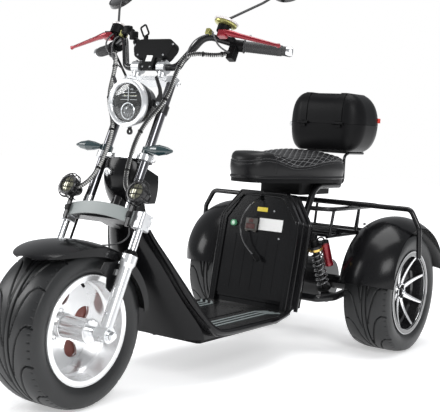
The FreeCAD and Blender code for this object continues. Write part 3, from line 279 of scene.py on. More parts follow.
def piece(name, shapes, worn, body, place=None, smooth=35.0, weld=True):
    """Joins shapes, sent through a placing function if one is given, into one object at the origin.

    Its seams and poles are welded, its faces turned outwards, and it wears a finish and rides a body."""
    points, faces, uvs, base = [], [], [], 0
    for shape_points, shape_faces, shape_uvs in shapes:
        points.append(place(shape_points) if place else shape_points)
        faces.extend([[i + base for i in face] for face in shape_faces])
        uvs.append(shape_uvs)
        base += len(shape_points)
    mesh = bpy.data.meshes.new(name)
    mesh.from_pydata(np.concatenate(points), [], faces)
    layer = mesh.uv_layers.new(name="UVMap")
    layer.data.foreach_set("uv", np.concatenate(uvs).ravel().astype(np.float32))
    if weld:
        work = bmesh.new()
        work.from_mesh(mesh)
        bmesh.ops.remove_doubles(work, verts=work.verts, dist=1e-6)
        bmesh.ops.dissolve_degenerate(work, edges=work.edges, dist=1e-6)
        bmesh.ops.recalc_face_normals(work, faces=work.faces)
        work.to_mesh(mesh)
        work.free()
    mesh.validate()
    mesh.shade_smooth()
    mesh.set_sharp_from_angle(angle=math.radians(smooth))
    mesh.materials.append(material(worn))
    made = bpy.data.objects.new(name, mesh)
    bpy.context.scene.collection.objects.link(made)
    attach(made, body)
    return made


# shader nodes

def feed(tree, node, feeds):
    """Gives a node's inputs plain values or other nodes' outputs."""
    for label, source in feeds.items():
        if isinstance(source, bpy.types.NodeSocket):
            tree.links.new(source, node.inputs[label])
        else:
            node.inputs[label].default_value = source
    return node


def add(tree, kind, feeds, **settings):
    """A new shader node with its settings, then with its inputs fed."""
    made = tree.nodes.new("ShaderNode" + kind)
    for label, value in settings.items():
        setattr(made, label, value)
    return feed(tree, made, feeds)


def compute(tree, operation, *values):
    """The output of a math node that works on plain values or outputs."""
    return add(tree, "Math", dict(enumerate(values)), operation=operation).outputs["Value"]


def blend_colours(tree, mask, below, above):
    """The output of a mix that shows the second colour where the mask is one."""
    return add(tree, "Mix", {"Factor": mask, "A": below, "B": above}, data_type="RGBA").outputs["Result"]


# shared effects, each a node group with named sockets

def effect(name, inputs, outputs):
    """An empty node group, the sockets it is given and its output node; no default stands for a vector."""
    kinds = {type(None): "NodeSocketVector", tuple: "NodeSocketColor", float: "NodeSocketFloat"}
    group = bpy.data.node_groups.new(name, "ShaderNodeTree")
    for label, default in inputs.items():
        socket = group.interface.new_socket(label, in_out="INPUT", socket_type=kinds[type(default)])
        if default is not None:
            socket.default_value = default
    for label, kind in outputs.items():
        group.interface.new_socket(label, in_out="OUTPUT", socket_type=kinds[kind])
    return group, group.nodes.new("NodeGroupInput").outputs, group.nodes.new("NodeGroupOutput")


@cache
def surface_variation():
    """Cloudy change of colour and roughness, with a fine grain as height."""
    group, given, out = effect(
        "Surface variation",
        {"Vector": None, "Colour": (0.02, 0.02, 0.02, 1.0), "Second Colour": (0.04, 0.04, 0.04, 1.0),
         "Cloud Scale": 3.0, "Grain Scale": 400.0, "Roughness Low": 0.3, "Roughness High": 0.4},
        {"Colour": tuple, "Roughness": float, "Height": float})
    place = given["Vector"]
    cloud = add(group, "TexNoise", {"Vector": place, "Scale": given["Cloud Scale"], "Detail": 4.0}).outputs["Fac"]
    grain = add(group, "TexNoise", {"Vector": place, "Scale": given["Grain Scale"], "Detail": 2.0}).outputs["Fac"]
    spread = add(group, "MapRange", {"Value": cloud, "From Min": 0.35, "From Max": 0.65,
                                     "To Min": given["Roughness Low"], "To Max": given["Roughness High"]})
    feed(group, out, {"Colour": blend_colours(group, cloud, given["Colour"], given["Second Colour"]),
                      "Roughness": spread.outputs["Result"], "Height": grain})
    return group


@cache
def hide_grain():
    """Pebbled leather height: cells with soft creases between them."""
    group, given, out = effect("Hide grain", {"Vector": None, "Scale": 500.0}, {"Height": float})
    cells = add(group, "TexVoronoi", {"Vector": given["Vector"], "Scale": given["Scale"]}, feature="SMOOTH_F1")
    folds = add(group, "TexNoise", {"Vector": given["Vector"], "Scale": 60.0})
    height = compute(group, "MULTIPLY_ADD", folds.outputs["Fac"], 0.6, cells.outputs["Distance"])
    feed(group, out, {"Height": height})
    return group


@cache
def wound_wrap():
    """Two crossing spirals along a tube's own UV map, as a mask."""
    group, given, out = effect("Wound wrap", {"UV": None, "Turns": 60.0}, {"Mask": float})
    split = add(group, "SeparateXYZ", {"Vector": given["UV"]}).outputs
    run = compute(group, "MULTIPLY", split["X"], given["Turns"])
    slants = [compute(group, "MULTIPLY_ADD", split["Y"], sign, run) for sign in (1.0, -1.0)]
    waves = [compute(group, "SINE", compute(group, "MULTIPLY", slant, TAU)) for slant in slants]
    mask = add(group, "MapRange", {"Value": compute(group, "MULTIPLY", *waves), "From Min": 0.15, "From Max": 0.4})
    feed(group, out, {"Mask": mask.outputs["Result"]})
    return group


# materials

def plain(name):
    """A new material, its nodes and its Principled shader."""
    made = bpy.data.materials.new(name)
    made.use_nodes = True
    return made, made.node_tree, made.node_tree.nodes["Principled BSDF"]


def finish(name, colour, second, rough, cloud, grain, strength, depth=0.0002, metallic=0.0, coat=0.0, hide=0.0,
           specular=0.5, other=None, where=()):
    """A material whose colour and roughness change over the surface, with a fine grain in its normal.

    Other is a colour and metallic value that show where every rule holds: (axis, test, metres, on both sides)."""
    made, tree, shader = plain(name)
    place = add(tree, "TexCoord", {}).outputs["Object"]
    vary = add(tree, "Group", {"Vector": place, "Colour": (*colour, 1.0), "Second Colour": (*second, 1.0),
                               "Cloud Scale": cloud, "Grain Scale": grain, "Roughness Low": rough[0],
                               "Roughness High": rough[1]}, node_tree=surface_variation()).outputs
    height = vary["Height"]
    if hide:
        height = add(tree, "Group", {"Vector": place, "Scale": hide}, node_tree=hide_grain()).outputs["Height"]
    bump = add(tree, "Bump", {"Strength": strength, "Distance": depth, "Height": height})
    shown, metal = vary["Colour"], metallic
    if other:
        split = add(tree, "SeparateXYZ", {"Vector": place}).outputs
        mask = 1.0
        for axis, test, limit, both_sides in where:
            value = compute(tree, "ABSOLUTE", split[axis]) if both_sides else split[axis]
            mask = compute(tree, "MULTIPLY", mask, compute(tree, test, value, limit))
        shown = blend_colours(tree, mask, shown, (*other[0], 1.0))
        metal = add(tree, "Mix", {"Factor": mask, "A": metallic, "B": other[1]}).outputs["Result"]
    feed(tree, shader, {"Base Color": shown, "Metallic": metal, "Roughness": vary["Roughness"], "Coat Weight": coat,
                        "Coat Roughness": 0.08, "Specular IOR Level": specular, "Normal": bump.outputs["Normal"]})
    return made


def stitched(made, thread):
    """Adds thread to a finish, in dashes along the lines where either number of the UV map is whole."""
    tree = made.node_tree
    base = tree.nodes["Principled BSDF"].inputs["Base Color"].links[0].from_socket
    split = add(tree, "SeparateXYZ", {"Vector": add(tree, "UVMap", {}).outputs["UV"]}).outputs
    masks = []
    for across, along in ("XY", "YX"):
        near = compute(tree, "LESS_THAN", compute(tree, "PINGPONG", split[across], 0.5), 0.036)
        dash = compute(tree, "GREATER_THAN", compute(tree, "PINGPONG", split[along], 0.05), 0.012)
        masks.append(compute(tree, "MULTIPLY", near, dash))
    shown = blend_colours(tree, compute(tree, "MAXIMUM", *masks), base, (*thread, 1.0))
    feed(tree, tree.nodes["Principled BSDF"], {"Base Color": shown})
    return made


def glass(name, tint):
    """Clear lens with a faint change of roughness."""
    made, tree, shader = plain(name)
    noise = add(tree, "TexNoise", {"Vector": add(tree, "TexCoord", {}).outputs["Object"], "Scale": 30.0})
    rough = add(tree, "MapRange", {"Value": noise.outputs["Fac"], "To Min": 0.0, "To Max": 0.015})
    feed(tree, shader, {"Base Color": (*tint, 1.0), "Transmission Weight": 1.0, "IOR": 1.45,
                        "Roughness": rough.outputs["Result"]})
    return made


def wrapped(name, dark, pale, turns):
    """Cable in a wound sleeve: crossing threads along the tube's UV map."""
    made, tree, shader = plain(name)
    mask = add(tree, "Group", {"UV": add(tree, "UVMap", {}).outputs["UV"], "Turns": turns},
               node_tree=wound_wrap()).outputs["Mask"]
    bump = add(tree, "Bump", {"Distance": 0.0008, "Height": mask})
    feed(tree, shader, {"Base Color": blend_colours(tree, mask, (*dark, 1.0), (*pale, 1.0)), "Roughness": 0.45,
                        "Normal": bump.outputs["Normal"]})
    return made


# by finish: the name in Blender, two colours or one of TrikeLook and its second shade, the range of roughness, the
# scales of clouds and grain, the strength of the grain, and what else differs from a plain finish
FINISHES = {
    "gloss_body": ("GlossBodyBlack", "body_black", 1.5, (0.14, 0.22), 3, 250, 0.04, dict(coat=0.15, specular=0.2)),
    "satin_body": ("SatinBodyBlack", "body_black", 1.5, (0.17, 0.24), 5, 900, 0.06, dict(specular=0.22)),
    "moulded": ("MouldedPlastic", (0.0035, 0.0035, 0.0038), (0.006, 0.006, 0.0064), (0.3, 0.42), 8, 1400, 0.3,
        dict(depth=0.0003, specular=0.1)),
    # the raised rib tops of the deck are painted pale grey: partly the ribs' paler rubber, partly a painted highlight
    # on them
    "deck": ("DeckMat", (0.006, 0.006, 0.0065), (0.01, 0.01, 0.0105), (0.22, 0.34), 8, 1400, 0.2,
        dict(specular=0.2, other=((0.3, 0.34, 0.34), 0.2),
             where=[("Z", "GREATER_THAN", 0.1806, False), ("X", "GREATER_THAN", 0.09, True),
                    ("Y", "GREATER_THAN", FRONT_HUB.y + 0.562, False)])),
    "clamp": ("ForkClamp", (0.72, 0.73, 0.74), (0.6, 0.61, 0.62), (0.25, 0.36), 12, 900, 0.12,
        dict(metallic=0.9, other=((0.015, 0.015, 0.016), 0.2), where=[("X", "LESS_THAN", 0.124, True)])),
    # the stanchions' tubes above 0.62 m get a darker chrome colour: a painted dark reflection
    "stanchion": ("StanchionChrome", (0.82, 0.83, 0.84), (0.74, 0.75, 0.76), (0.05, 0.12), 5, 60, 0.02,
        dict(metallic=1.0, other=((0.16, 0.16, 0.17), 0.95), where=[("Z", "GREATER_THAN", 0.62, False)])),
    "brown": ("BrownLacquer", (0.16, 0.045, 0.035), (0.24, 0.075, 0.06), (0.35, 0.5), 9, 500, 0.1, {}),
    "frame_paint": ("FramePaint", (0.006, 0.006, 0.0065), (0.01, 0.01, 0.011), (0.16, 0.25), 6, 700, 0.08,
        dict(coat=0.2, specular=0.28)),
    "tyre": ("TyreRubber", "tyre_grey", 1.45, (0.34, 0.46), 7, 1800, 0.25, dict(depth=0.0004, specular=0.42)),
    "grip": ("GripRubber", (0.018, 0.018, 0.019), (0.032, 0.032, 0.033), (0.45, 0.6), 20, 1500, 0.4, {}),
    "chrome": ("Chrome", (0.82, 0.83, 0.84), (0.74, 0.75, 0.76), (0.05, 0.12), 5, 60, 0.02, dict(metallic=1.0)),
    "cast": ("CastAlloy", (0.72, 0.73, 0.74), (0.6, 0.61, 0.62), (0.25, 0.36), 12, 900, 0.15, dict(metallic=0.9)),
    "fork_silver": ("ForkSilver", (0.8, 0.81, 0.82), (0.7, 0.71, 0.72), (0.25, 0.34), 6, 700, 0.08,
        dict(metallic=0.6, coat=0.4)),
    "band": ("BandGrey", (0.24, 0.265, 0.26), (0.3, 0.325, 0.32), (0.4, 0.5), 9, 1000, 0.12, {}),
    "red": ("AnodisedRed", "brake_red", 0.55, (0.2, 0.3), 15, 600, 0.06, dict(metallic=0.5, coat=0.5)),
    "gold": ("GoldAnodised", (0.75, 0.5, 0.12), (0.82, 0.58, 0.2), (0.2, 0.32), 15, 600, 0.06, dict(metallic=0.9)),
    "signal": ("SignalSmoke", (0.01, 0.026, 0.03), (0.018, 0.042, 0.048), (0.1, 0.18), 20, 200, 0.03,
        dict(coat=0.8)),
    "vinyl": ("BlackVinyl", "seat_black", 1.4, (0.3, 0.42), 9, 500, 0.3,
        dict(depth=0.0003, hide=650.0, specular=0.24)),
    "quilt": ("QuiltedVinyl", "seat_black", 1.4, (0.3, 0.42), 9, 500, 0.3,
        dict(depth=0.0003, hide=650.0, specular=0.24)),
    "box_plastic": ("BoxPlastic", (0.0045, 0.0045, 0.005), (0.007, 0.007, 0.0075), (0.3, 0.4), 5, 1200, 0.12,
        dict(specular=0.1)),
    "lamp_bowl": ("LampBowl", (0.012, 0.012, 0.012), (0.04, 0.04, 0.036), (0.3, 0.42), 14, 200, 0.02,
        dict(specular=0.12)),
    "reflector": ("RedReflector", (0.62, 0.035, 0.022), (0.72, 0.06, 0.04), (0.15, 0.25), 60, 300, 0.2,
        dict(coat=0.6)),
    "disc": ("DiscSteel", (0.42, 0.42, 0.43), (0.55, 0.55, 0.56), (0.28, 0.4), 25, 900, 0.1, dict(metallic=1.0)),
    "gloss_alloy": ("GlossBlackAlloy", (0.012, 0.012, 0.013), (0.02, 0.02, 0.021), (0.12, 0.2), 6, 300, 0.04,
        dict(coat=0.8)),
    "white_chrome": ("WhiteChrome", (0.9, 0.905, 0.91), (0.84, 0.845, 0.85), (0.14, 0.24), 5, 90, 0.02,
        dict(metallic=0.72)),
    "olive": ("OlivePlating", (0.33, 0.32, 0.09), (0.46, 0.44, 0.18), (0.2, 0.3), 20, 600, 0.06,
        dict(metallic=0.7)),
    "pale_lid": ("PaleLid", (0.78, 0.72, 0.71), (0.7, 0.68, 0.67), (0.25, 0.35), 20, 600, 0.05, dict(metallic=0.3)),
    "wire": ("GreyWire", (0.05, 0.05, 0.052), (0.09, 0.09, 0.092), (0.3, 0.4), 30, 900, 0.1, {}),
    "rim_satin": ("SatinRim", (0.78, 0.79, 0.8), (0.7, 0.71, 0.72), (0.2, 0.28), 9, 900, 0.05, dict(metallic=0.7)),
    "machined": ("MachinedSpoke", (0.9, 0.9, 0.91), (0.84, 0.84, 0.85), (0.16, 0.24), 9, 1200, 0.05,
        dict(metallic=0.75)),
    "thread": ("GreyThread", (0.1, 0.1, 0.105), (0.16, 0.16, 0.165), (0.55, 0.7), 40, 3000, 0.4, {}),
    "black_metal": ("BlackMetal", (0.018, 0.018, 0.019), (0.03, 0.03, 0.031), (0.2, 0.3), 20, 800, 0.08,
        dict(metallic=0.4)),
    "white_plate": ("WhitePlate", (0.82, 0.82, 0.81), (0.76, 0.76, 0.75), (0.4, 0.5), 12, 900, 0.1, {}),
    "yellow_plate": ("YellowPlate", (0.78, 0.62, 0.06), (0.7, 0.55, 0.05), (0.4, 0.5), 12, 900, 0.1, {}),
    "fuse_grey": ("FuseGrey", (0.055, 0.05, 0.045), (0.08, 0.075, 0.068), (0.4, 0.5), 12, 900, 0.15, {}),
    "fuse_red": ("FuseRed", (0.05, 0.012, 0.011), (0.08, 0.02, 0.018), (0.3, 0.42), 12, 900, 0.1, {}),
    "green_ring": ("GreenRing", (0.08, 0.3, 0.16), (0.12, 0.38, 0.2), (0.3, 0.4), 20, 900, 0.1, {}),
    "green_lens": ("GreenLens", (0.55, 0.75, 0.6), (0.66, 0.82, 0.7), (0.12, 0.2), 20, 300, 0.05, dict(coat=0.6)),
    "dark_glass": ("DarkGlass", (0.01, 0.012, 0.014), (0.016, 0.018, 0.02), (0.05, 0.1), 4, 60, 0.01,
        dict(coat=1.0)),
    "mirror": ("MirrorGlass", (0.86, 0.87, 0.88), (0.82, 0.83, 0.84), (0.02, 0.05), 4, 40, 0.005,
        dict(metallic=1.0)),
    "led": ("LampDiodes", (0.85, 0.8, 0.45), (0.9, 0.86, 0.6), (0.2, 0.3), 60, 900, 0.1, {}),
    "led_lens": ("SpotlightLens", (0.06, 0.06, 0.045), (0.34, 0.33, 0.22), (0.08, 0.16), 90, 220, 0.5,
        dict(metallic=0.5, coat=1.0)),
    "lead": ("LeadRubber", (0.016, 0.016, 0.017), (0.026, 0.026, 0.027), (0.16, 0.24), 20, 900, 0.05,
        dict(coat=1.0)),
    "spring": ("SpringSteel", (0.1, 0.1, 0.105), (0.16, 0.16, 0.165), (0.1, 0.2), 15, 500, 0.05,
        dict(metallic=0.8, coat=1.0)),
}


@cache
def material(name):
    """The trike's finishes by name, each made once."""
    if name == "lens":
        return glass("ClearLens", (0.96, 0.98, 0.99))
    if name == "wound":
        return wrapped("WoundSleeve", (0.003, 0.003, 0.0035), (0.62, 0.62, 0.6), 52.0)
    label, colour, second, rough, cloud, grain, strength, rest = FINISHES[name]
    if isinstance(colour, str):
        colour = tuple(getattr(bpy.context.scene.trike_look, colour))
        second = tuple(c * second for c in colour)
    made = finish(label, colour, second, rough, cloud, grain, strength, **rest)
    return stitched(made, (0.24, 0.24, 0.245)) if name == "quilt" else made


def colour_property(name, description, default):
    return FloatVectorProperty(name=name, description=description, subtype="COLOR", size=3, default=default,
                               min=0.0, max=1.0)


def length_property(name, description, default, low, high):
    return FloatProperty(name=name, description=description, unit="LENGTH", default=default, min=low, max=high)


class TrikeLook(bpy.types.PropertyGroup):
    """Sizes and colours of the dressing that a user may change."""

    body_black: colour_property("Body black", "Colour of the painted body panels", (0.0045, 0.0045, 0.005))
    seat_black: colour_property("Seat vinyl", "Colour of the seat cover", (0.0055, 0.0055, 0.006))
    tyre_grey: colour_property("Tyre rubber", "Colour of the tyres", (0.0115, 0.012, 0.0125))
    brake_red: colour_property("Lever red", "Colour of the brake levers and the shock reservoirs",
                               (0.30, 0.006, 0.018))
    groove_depth: length_property("Tread depth", "Depth of the tyre's main grooves", 0.006, 0.0, 0.01)
    groove_width: length_property("Groove width", "Width of the tyre's main grooves", 0.0072, 0.002, 0.012)
    tread_pitches: IntProperty(name="Tread pitches", description="Shoulder blocks round the tyre", default=13,
                               min=6, max=30)
    quilt_pitch: length_property("Quilt pitch", "Width of one stitched diamond of the seat", 0.023, 0.01, 0.1)
    quilt_puff: length_property("Quilt puff", "Height of one stitched diamond of the seat", 0.0024, 0.0, 0.02)


# by finish: the frame's own nodes that have it
DRESSED = {
    "satin_body": "front_fender rear_fenders downtube_cover neck_cover",
    "box_plastic": "box_tray box_lid",
    "gloss_body": "battery_surround battery_case",
    "deck": "footboard",
    "moulded": "belly_box underseat_box controls dash battery_trim charge_lead charge_plug cable_looms front_brake",
    "frame_paint": "head_frame rear_frame box_support rear_rack guard_hoop rear_axle_housing handlebar mirrors",
    "stanchion": "stanchions",
    "black_metal": "headlight_shell shock_bodies spotlights",
    "clamp": "lower_clamp",
    "chrome": "front_axle",
    "rim_satin": "neck_lock",
    "white_chrome": "front_rim",
    "spring": "shock_springs",
    "lens": "headlight_lens",
    "cast": "fork_yoke top_crown",
    "fork_silver": "fork_legs",
    "band": "clamp_band",
    "red": "levers",
    "grip": "grips",
    "signal": "turn_signals",
    "reflector": "box_reflector",
    "disc": "brake_disc",
    "gloss_alloy": "rear_rim_left rear_rim_right",
    "tyre": "front_tyre rear_tyre_left rear_tyre_right",
    "vinyl": "seat_cushion",
}


class TrikeFinishes(bpy.types.Operator):
    """Puts procedural finishes on the frame's own nodes"""

    bl_idname = "trike.finishes"
    bl_label = "Finishes"

    def execute(self, context):
        for name, nodes in DRESSED.items():
            for node in nodes.split():
                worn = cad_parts[node].data.materials
                worn.clear()
                worn.append(material(name))
        return {"FINISHED"}


# tyres

def arc(start, via, end, count):
    """Circle through three points in a plane, from start to end, as count points without the last."""
    (ax, ay), (bx, by), (cx, cy) = start, via, end
    d = 2.0 * (ax * (by - cy) + bx * (cy - ay) + cx * (ay - by))
    ux = ((ax * ax + ay * ay) * (by - cy) + (bx * bx + by * by) * (cy - ay) + (cx * cx + cy * cy) * (ay - by)) / d
    uy = ((ax * ax + ay * ay) * (cx - bx) + (bx * bx + by * by) * (ax - cx) + (cx * cx + cy * cy) * (bx - ax)) / d
    first, last = math.atan2(ay - uy, ax - ux), math.atan2(cy - uy, cx - ux)
    way = math.atan2(by - uy, bx - ux)
    span = (last - first) % TAU
    if (way - first) % TAU > span:
        span -= TAU
    turn = first + np.linspace(0.0, span, count, endpoint=False)
    reach = math.hypot(ax - ux, ay - uy)
    return np.stack([ux + reach * np.cos(turn), uy + reach * np.sin(turn)], axis=1)


def tyre_section():
    """Half-round sidewalls, rounded shoulders and a flat crown, closed inside along the rim's seat."""
    half, crown = TYRE_HALF, TYRE_RADIUS
    bead, lip, base = half - 0.012, 0.1675, 0.1528
    shoulder = crown - 0.009
    side_mid = (lip + shoulder) / 2.0
    left = arc((-bead, lip), (-half, side_mid), (6e-3 - half, shoulder), 18)
    left_top = arc((6e-3 - half, shoulder), (0.034 - half, crown - 0.0015), (-0.04, crown), 26)
    flat = np.stack([np.linspace(-0.04, 0.04, 40), np.full(40, crown)], axis=1)
    half_line = np.concatenate([left, left_top])
    other = half_line[::-1] * [-1.0, 1.0]
    inside = np.array([[bead, base], [0.0, base], [-bead, base]])
    return np.concatenate([half_line, flat, other, inside])


def groove(distance, width):
    """1 in the middle of a groove, falling smoothly to 0 at its edge."""
    t = np.clip(1.0 - np.abs(distance) / (width / 2.0), 0.0, 1.0)
    return np.minimum(1.0, t * 2.2) ** 1.5


def tread_depth(turn, across, look):
    """Depth mask over the tyre: two round grooves, and on each side hooks that enter from the shoulder,
    bend along the tyre and run out towards the middle over one and a half pitches."""
    pitch = TAU * TYRE_RADIUS / look.tread_pitches
    width = look.groove_width
    side = np.sign(across)
    place = np.abs(across)
    q = (turn * look.tread_pitches / TAU + 0.25 * (side > 0)) % 1.0
    depth = groove(place - 0.0085, width)
    for later in (0.0, 1.0):
        run = q + later - 0.12
        tail = 0.052 - 0.03 * np.clip(run, 0.0, 1.5) ** 0.9
        bend = 0.018 * np.exp(-np.clip(run, 0.0, 2.0) * pitch / 0.012)
        along = groove(place - tail - bend, width) * (run > 0.0) * (run < 1.35)
        depth = np.maximum(depth, along)
    entry = (q - 0.12) * pitch - (place - 0.07) * 0.25
    lateral = groove(entry, width * 0.9) * (place > 0.066) * (place < 0.0905)
    depth = np.maximum(depth, lateral)
    ticks = (q * 5.0) % 1.0
    sipe = groove((ticks - 0.5) * pitch / 5.0, 0.0035) * (place > 0.077) * (place < 0.086) * 0.45
    return np.maximum(depth, sipe)


def tyre_surface(hub):
    """Tyre section carried round the hub, its crown sunk by the tread mask."""
    look = bpy.context.scene.trike_look
    section = tyre_section()
    turn = turns(640)
    across = section[:, 0][None, :] * np.ones_like(turn)[:, None]
    radius = section[:, 1][None, :] * np.ones_like(turn)[:, None]
    crown = radius > TYRE_RADIUS - 0.014
    radius = radius - np.where(crown, tread_depth(turn[:, None], across, look), 0.0) * look.groove_depth
    points = np.stack([hub.x + across, hub.y - radius * np.sin(turn)[:, None],
                       hub.z + radius * np.cos(turn)[:, None]], axis=-1)
    return grid(points, wrap_u=True, wrap_v=True)


class TrikeTyres(bpy.types.Operator):
    """Tyres with their tread, in place of the plain ones"""

    bl_idname = "trike.tyres"
    bl_label = "Tyres"

    def execute(self, context):
        for node, hub, body in (("front_tyre", FRONT_HUB, "front_wheel"),
                                ("rear_tyre_left", LEFT_HUB, "rear_wheel_left"),
                                ("rear_tyre_right", RIGHT_HUB, "rear_wheel_right")):
            made = piece("treaded_" + node, [tyre_surface(hub)], "tyre", body, smooth=50.0)
            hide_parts(node)
        return {"FINISHED"}


# front and rear wheels

def bead_ring(hub, outer, radius, thick):
    """Rolled edge: a thin round ring square to X beside a hub."""
    turn = turns(96)
    path = np.stack([np.full(96, hub.x + outer), hub.y + radius * np.sin(turn), hub.z + radius * np.cos(turn)], 1)
    return tube(path, thick, 10, closed=True)


def valve(hub, side):
    """Tyre valve: a stepped stem leaning out of the rim's well, with its cap."""
    base = np.array([hub.x + side * 0.04, hub.y, hub.z + 0.146])
    axis = np.array([side * 0.8, 0.0, -0.6])
    profile = mm([(0, 0), (0, 6), (6, 5.5), (8, 3.8), (20, 3.8), (21, 4.4), (31, 4.2), (33, 0)])
    return lathe(profile, base, axis, 16)


class TrikeFrontWheel(bpy.types.Operator):
    """Rim edges, hub bolts and rings, backing plate and valve of the front wheel"""

    bl_idname = "trike.front_wheel"
    bl_label = "Front wheel"

    def execute(self, context):
        hub = FRONT_HUB
        edges = [bead_ring(hub, side * 0.0885, 0.1645, 0.0024) for side in BOTH_SIDES]
        edges += [bead_ring(hub, side * 0.0835, 0.15, 0.0012) for side in BOTH_SIDES]
        piece("front_rim_edges", edges, "white_chrome", "front_wheel")
        bolts = ring_of(5, 0.042, hub, -0.018, lambda at, _: screw(at, LEFTWARD, 0.006, 0.006))
        bolts += ring_of(6, 0.04, hub, -0.0563, lambda at, _: screw(at, RIGHTWARD, 0.005, 0.004), 0.5)
        for where, radius in ((0.096, 0.0345), (-0.004, 0.036)):
            profile = [(-0.005, radius - 0.001), (-0.004, radius + 0.0022), (0.0, radius + 0.0032),
                       (0.003, radius + 0.0022), (0.004, radius - 0.001)]
            bolts.append(lathe(profile, (hub.x + where, hub.y, hub.z), LEFTWARD, 64))
        # a brown disc behind the petals gives the reddish brown seen through the rim's windows
        plate = lathe(mm([(0, 52), (0, 128), (-3, 128), (-3, 52), (0, 52)]),
                      (hub.x - 0.038, hub.y, hub.z), LEFTWARD, 96)
        piece("petal_backing", [plate], "brown", "front_wheel")
        piece("front_hub_bolts", bolts, "white_chrome", "front_wheel")
        piece("front_valve", [valve(hub, 1.0)], "moulded", "front_wheel")
        return {"FINISHED"}


def spoke_face(hub, side, turn):
    """Bright face of one rear spoke: a flat bead along the arc from the sunk hub out to the lip."""
    line = np.concatenate([arc((0.0432, 0.03), (0.0532, 0.0848), (0.079, 0.1465), 16), [[0.079, 0.1465]]])
    share = (line[:, 1] - 0.02) / 0.1295
    half = 0.0113 - 0.006 * share
    step = unit(np.gradient(line, axis=0))
    out = np.stack([step[:, 1], -step[:, 0]], axis=1)
    ring = [(-1.0, -0.002), (-1.0, 0.0006), (-0.8, 0.0014), (0.0, 0.002), (0.8, 0.0014), (1.0, 0.0006),
            (1.0, -0.002), (0.0, -0.0024)]
    rows = []
    for across, lift in ring:
        flat = line + out * lift
        rows.append(np.stack([side * flat[:, 0], half * across * math.cos(turn) + flat[:, 1] * math.sin(turn),
                              flat[:, 1] * math.cos(turn) - half * across * math.sin(turn)], axis=1))
    points = np.stack(rows, axis=1) + np.array([hub.x, hub.y, hub.z])
    return grid(points, wrap_v=True, cap_start=True, cap_end=True)


class TrikeRearWheels(bpy.types.Operator):
    """Bright spoke faces, hub nuts and rim edges of the rear wheels"""

    bl_idname = "trike.rear_wheels"
    bl_label = "Rear wheels"

    def execute(self, context):
        for name, hub, side, body in (("left", LEFT_HUB, 1.0, "rear_wheel_left"),
                                      ("right", RIGHT_HUB, -1.0, "rear_wheel_right")):
            faces = [spoke_face(hub, side, math.radians(22.0 + 45.0 * index)) for index in range(8)]
            piece("spoke_faces_" + name, faces, "machined", body, smooth=28.0)
            axis = np.array([side, 0.0, 0.0])
            face = np.array([hub.x + side * 0.05, hub.y, hub.z])
            collar = mm([(-20, 32.2), (-19.5, 33.2), (-1, 33.2), (1.2, 32.2), (1.6, 30), (1.2, 26.2), (-1, 25.2),
                         (-9, 25.2)])
            shiny = [lathe(collar, face, axis, 64)]
            shiny.append(screw(face + axis * 0.003, axis, 0.0115, 0.007))
            shiny.append(lathe(mm([(0, 0), (0, 4.2), (4, 4.2), (5, 3), (5, 0)]), face + axis * 0.0098, axis, 20))
            shiny.append(bead_ring(hub, side * 0.0885, 0.1645, 0.0011))
            shiny.append(bead_ring(hub, side * 0.084, 0.147, 0.001))
            piece("hub_nuts_" + name, shiny, "chrome", body)
            nuts = ring_of(5, 0.0245, hub, side * 0.0505, lambda at, _: screw(at, axis, 0.0042, 0.006), 0.3)
            nuts += ring_of(5, 0.0392, hub, side * 0.032, lambda at, _: screw(at, axis, 0.0062, 0.012), 0.3)
            piece("wheel_nuts_" + name, nuts, "black_metal", body)
            piece("valve_" + name, [valve(hub, side)], "moulded", body)
        return {"FINISHED"}


# seat

SEAT_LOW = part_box("seat_cushion")[0].z
SEAT_COLUMNS = 560
SIDE_INSET = 0.0042  # of the cover's side from the plan's line
SHOULDER = 0.019  # radius of the shoulder
NOSE_SEAM = 0.475  # distance of the seam across the nose ahead of the rear axle
BESIDE_SEAM, BESIDE_NOSE = 0.0052, 0.007  # from each seam to its two lines of stitches
SIDE_ROWS, NOSE_FIRST_ROW = 46, 30  # rows of the cover that the stitches are looked for in
STITCH = (0.0062, 0.0042, 0.00042)  # pitch, length and radius of the thread
# plan (x, y) and stations along the seat, measured from the rear axle, in millimetres
SEAT_PLAN = [(0.0, -570), (62, -548), (98, -480), (126, -380), (158, -230), (164, -110), (150, -30), (90, 14), (0, 22)]
SEAT_STATIONS = [-600, -550, -490, -390, -290, -210, -90, -10, 50]
SEAT_EDGE = [700, 745, 748, 728, 742, 752, 752, 738, 715]
SEAT_TOP = [730, 770, 776, 756, 772, 785, 782, 765, 735]


def closed_curve(points, count):
    """Even points along the Catmull-Rom spline through a closed ring of points."""
    p = np.asarray(points, float)
    t = np.linspace(0.0, 1.0, 40, endpoint=False)[:, None]
    parts = []
    for i in range(len(p)):
        a, b, c, d = p[i - 1], p[i], p[(i + 1) % len(p)], p[(i + 2) % len(p)]
        parts.append(0.5 * (2 * b + (c - a) * t + (2 * a - 5 * b + 4 * c - d) * t ** 2
                            + (3 * b - a - 3 * c + d) * t ** 3))
    line = np.concatenate(parts + [parts[0][:1]])
    gone = run_length(line)
    return at_length(np.linspace(0.0, gone[-1], count, endpoint=False), gone, line)


def seat_height(x, y):
    """Top of the seat: a line of crests along it, falling as the square of the distance to its side."""
    station = (y - LEFT_HUB.y) * 1000.0
    crest = smooth_values(station, SEAT_STATIONS, SEAT_TOP, 30.0) / 1000.0
    edge = smooth_values(station, SEAT_STATIONS, SEAT_EDGE, 30.0) / 1000.0
    return crest - (crest - edge) * (x / 0.185) ** 2


def bell(distance, width):
    """1 in the middle, falling off smoothly on both sides."""
    return np.exp(-(distance / width) ** 2)


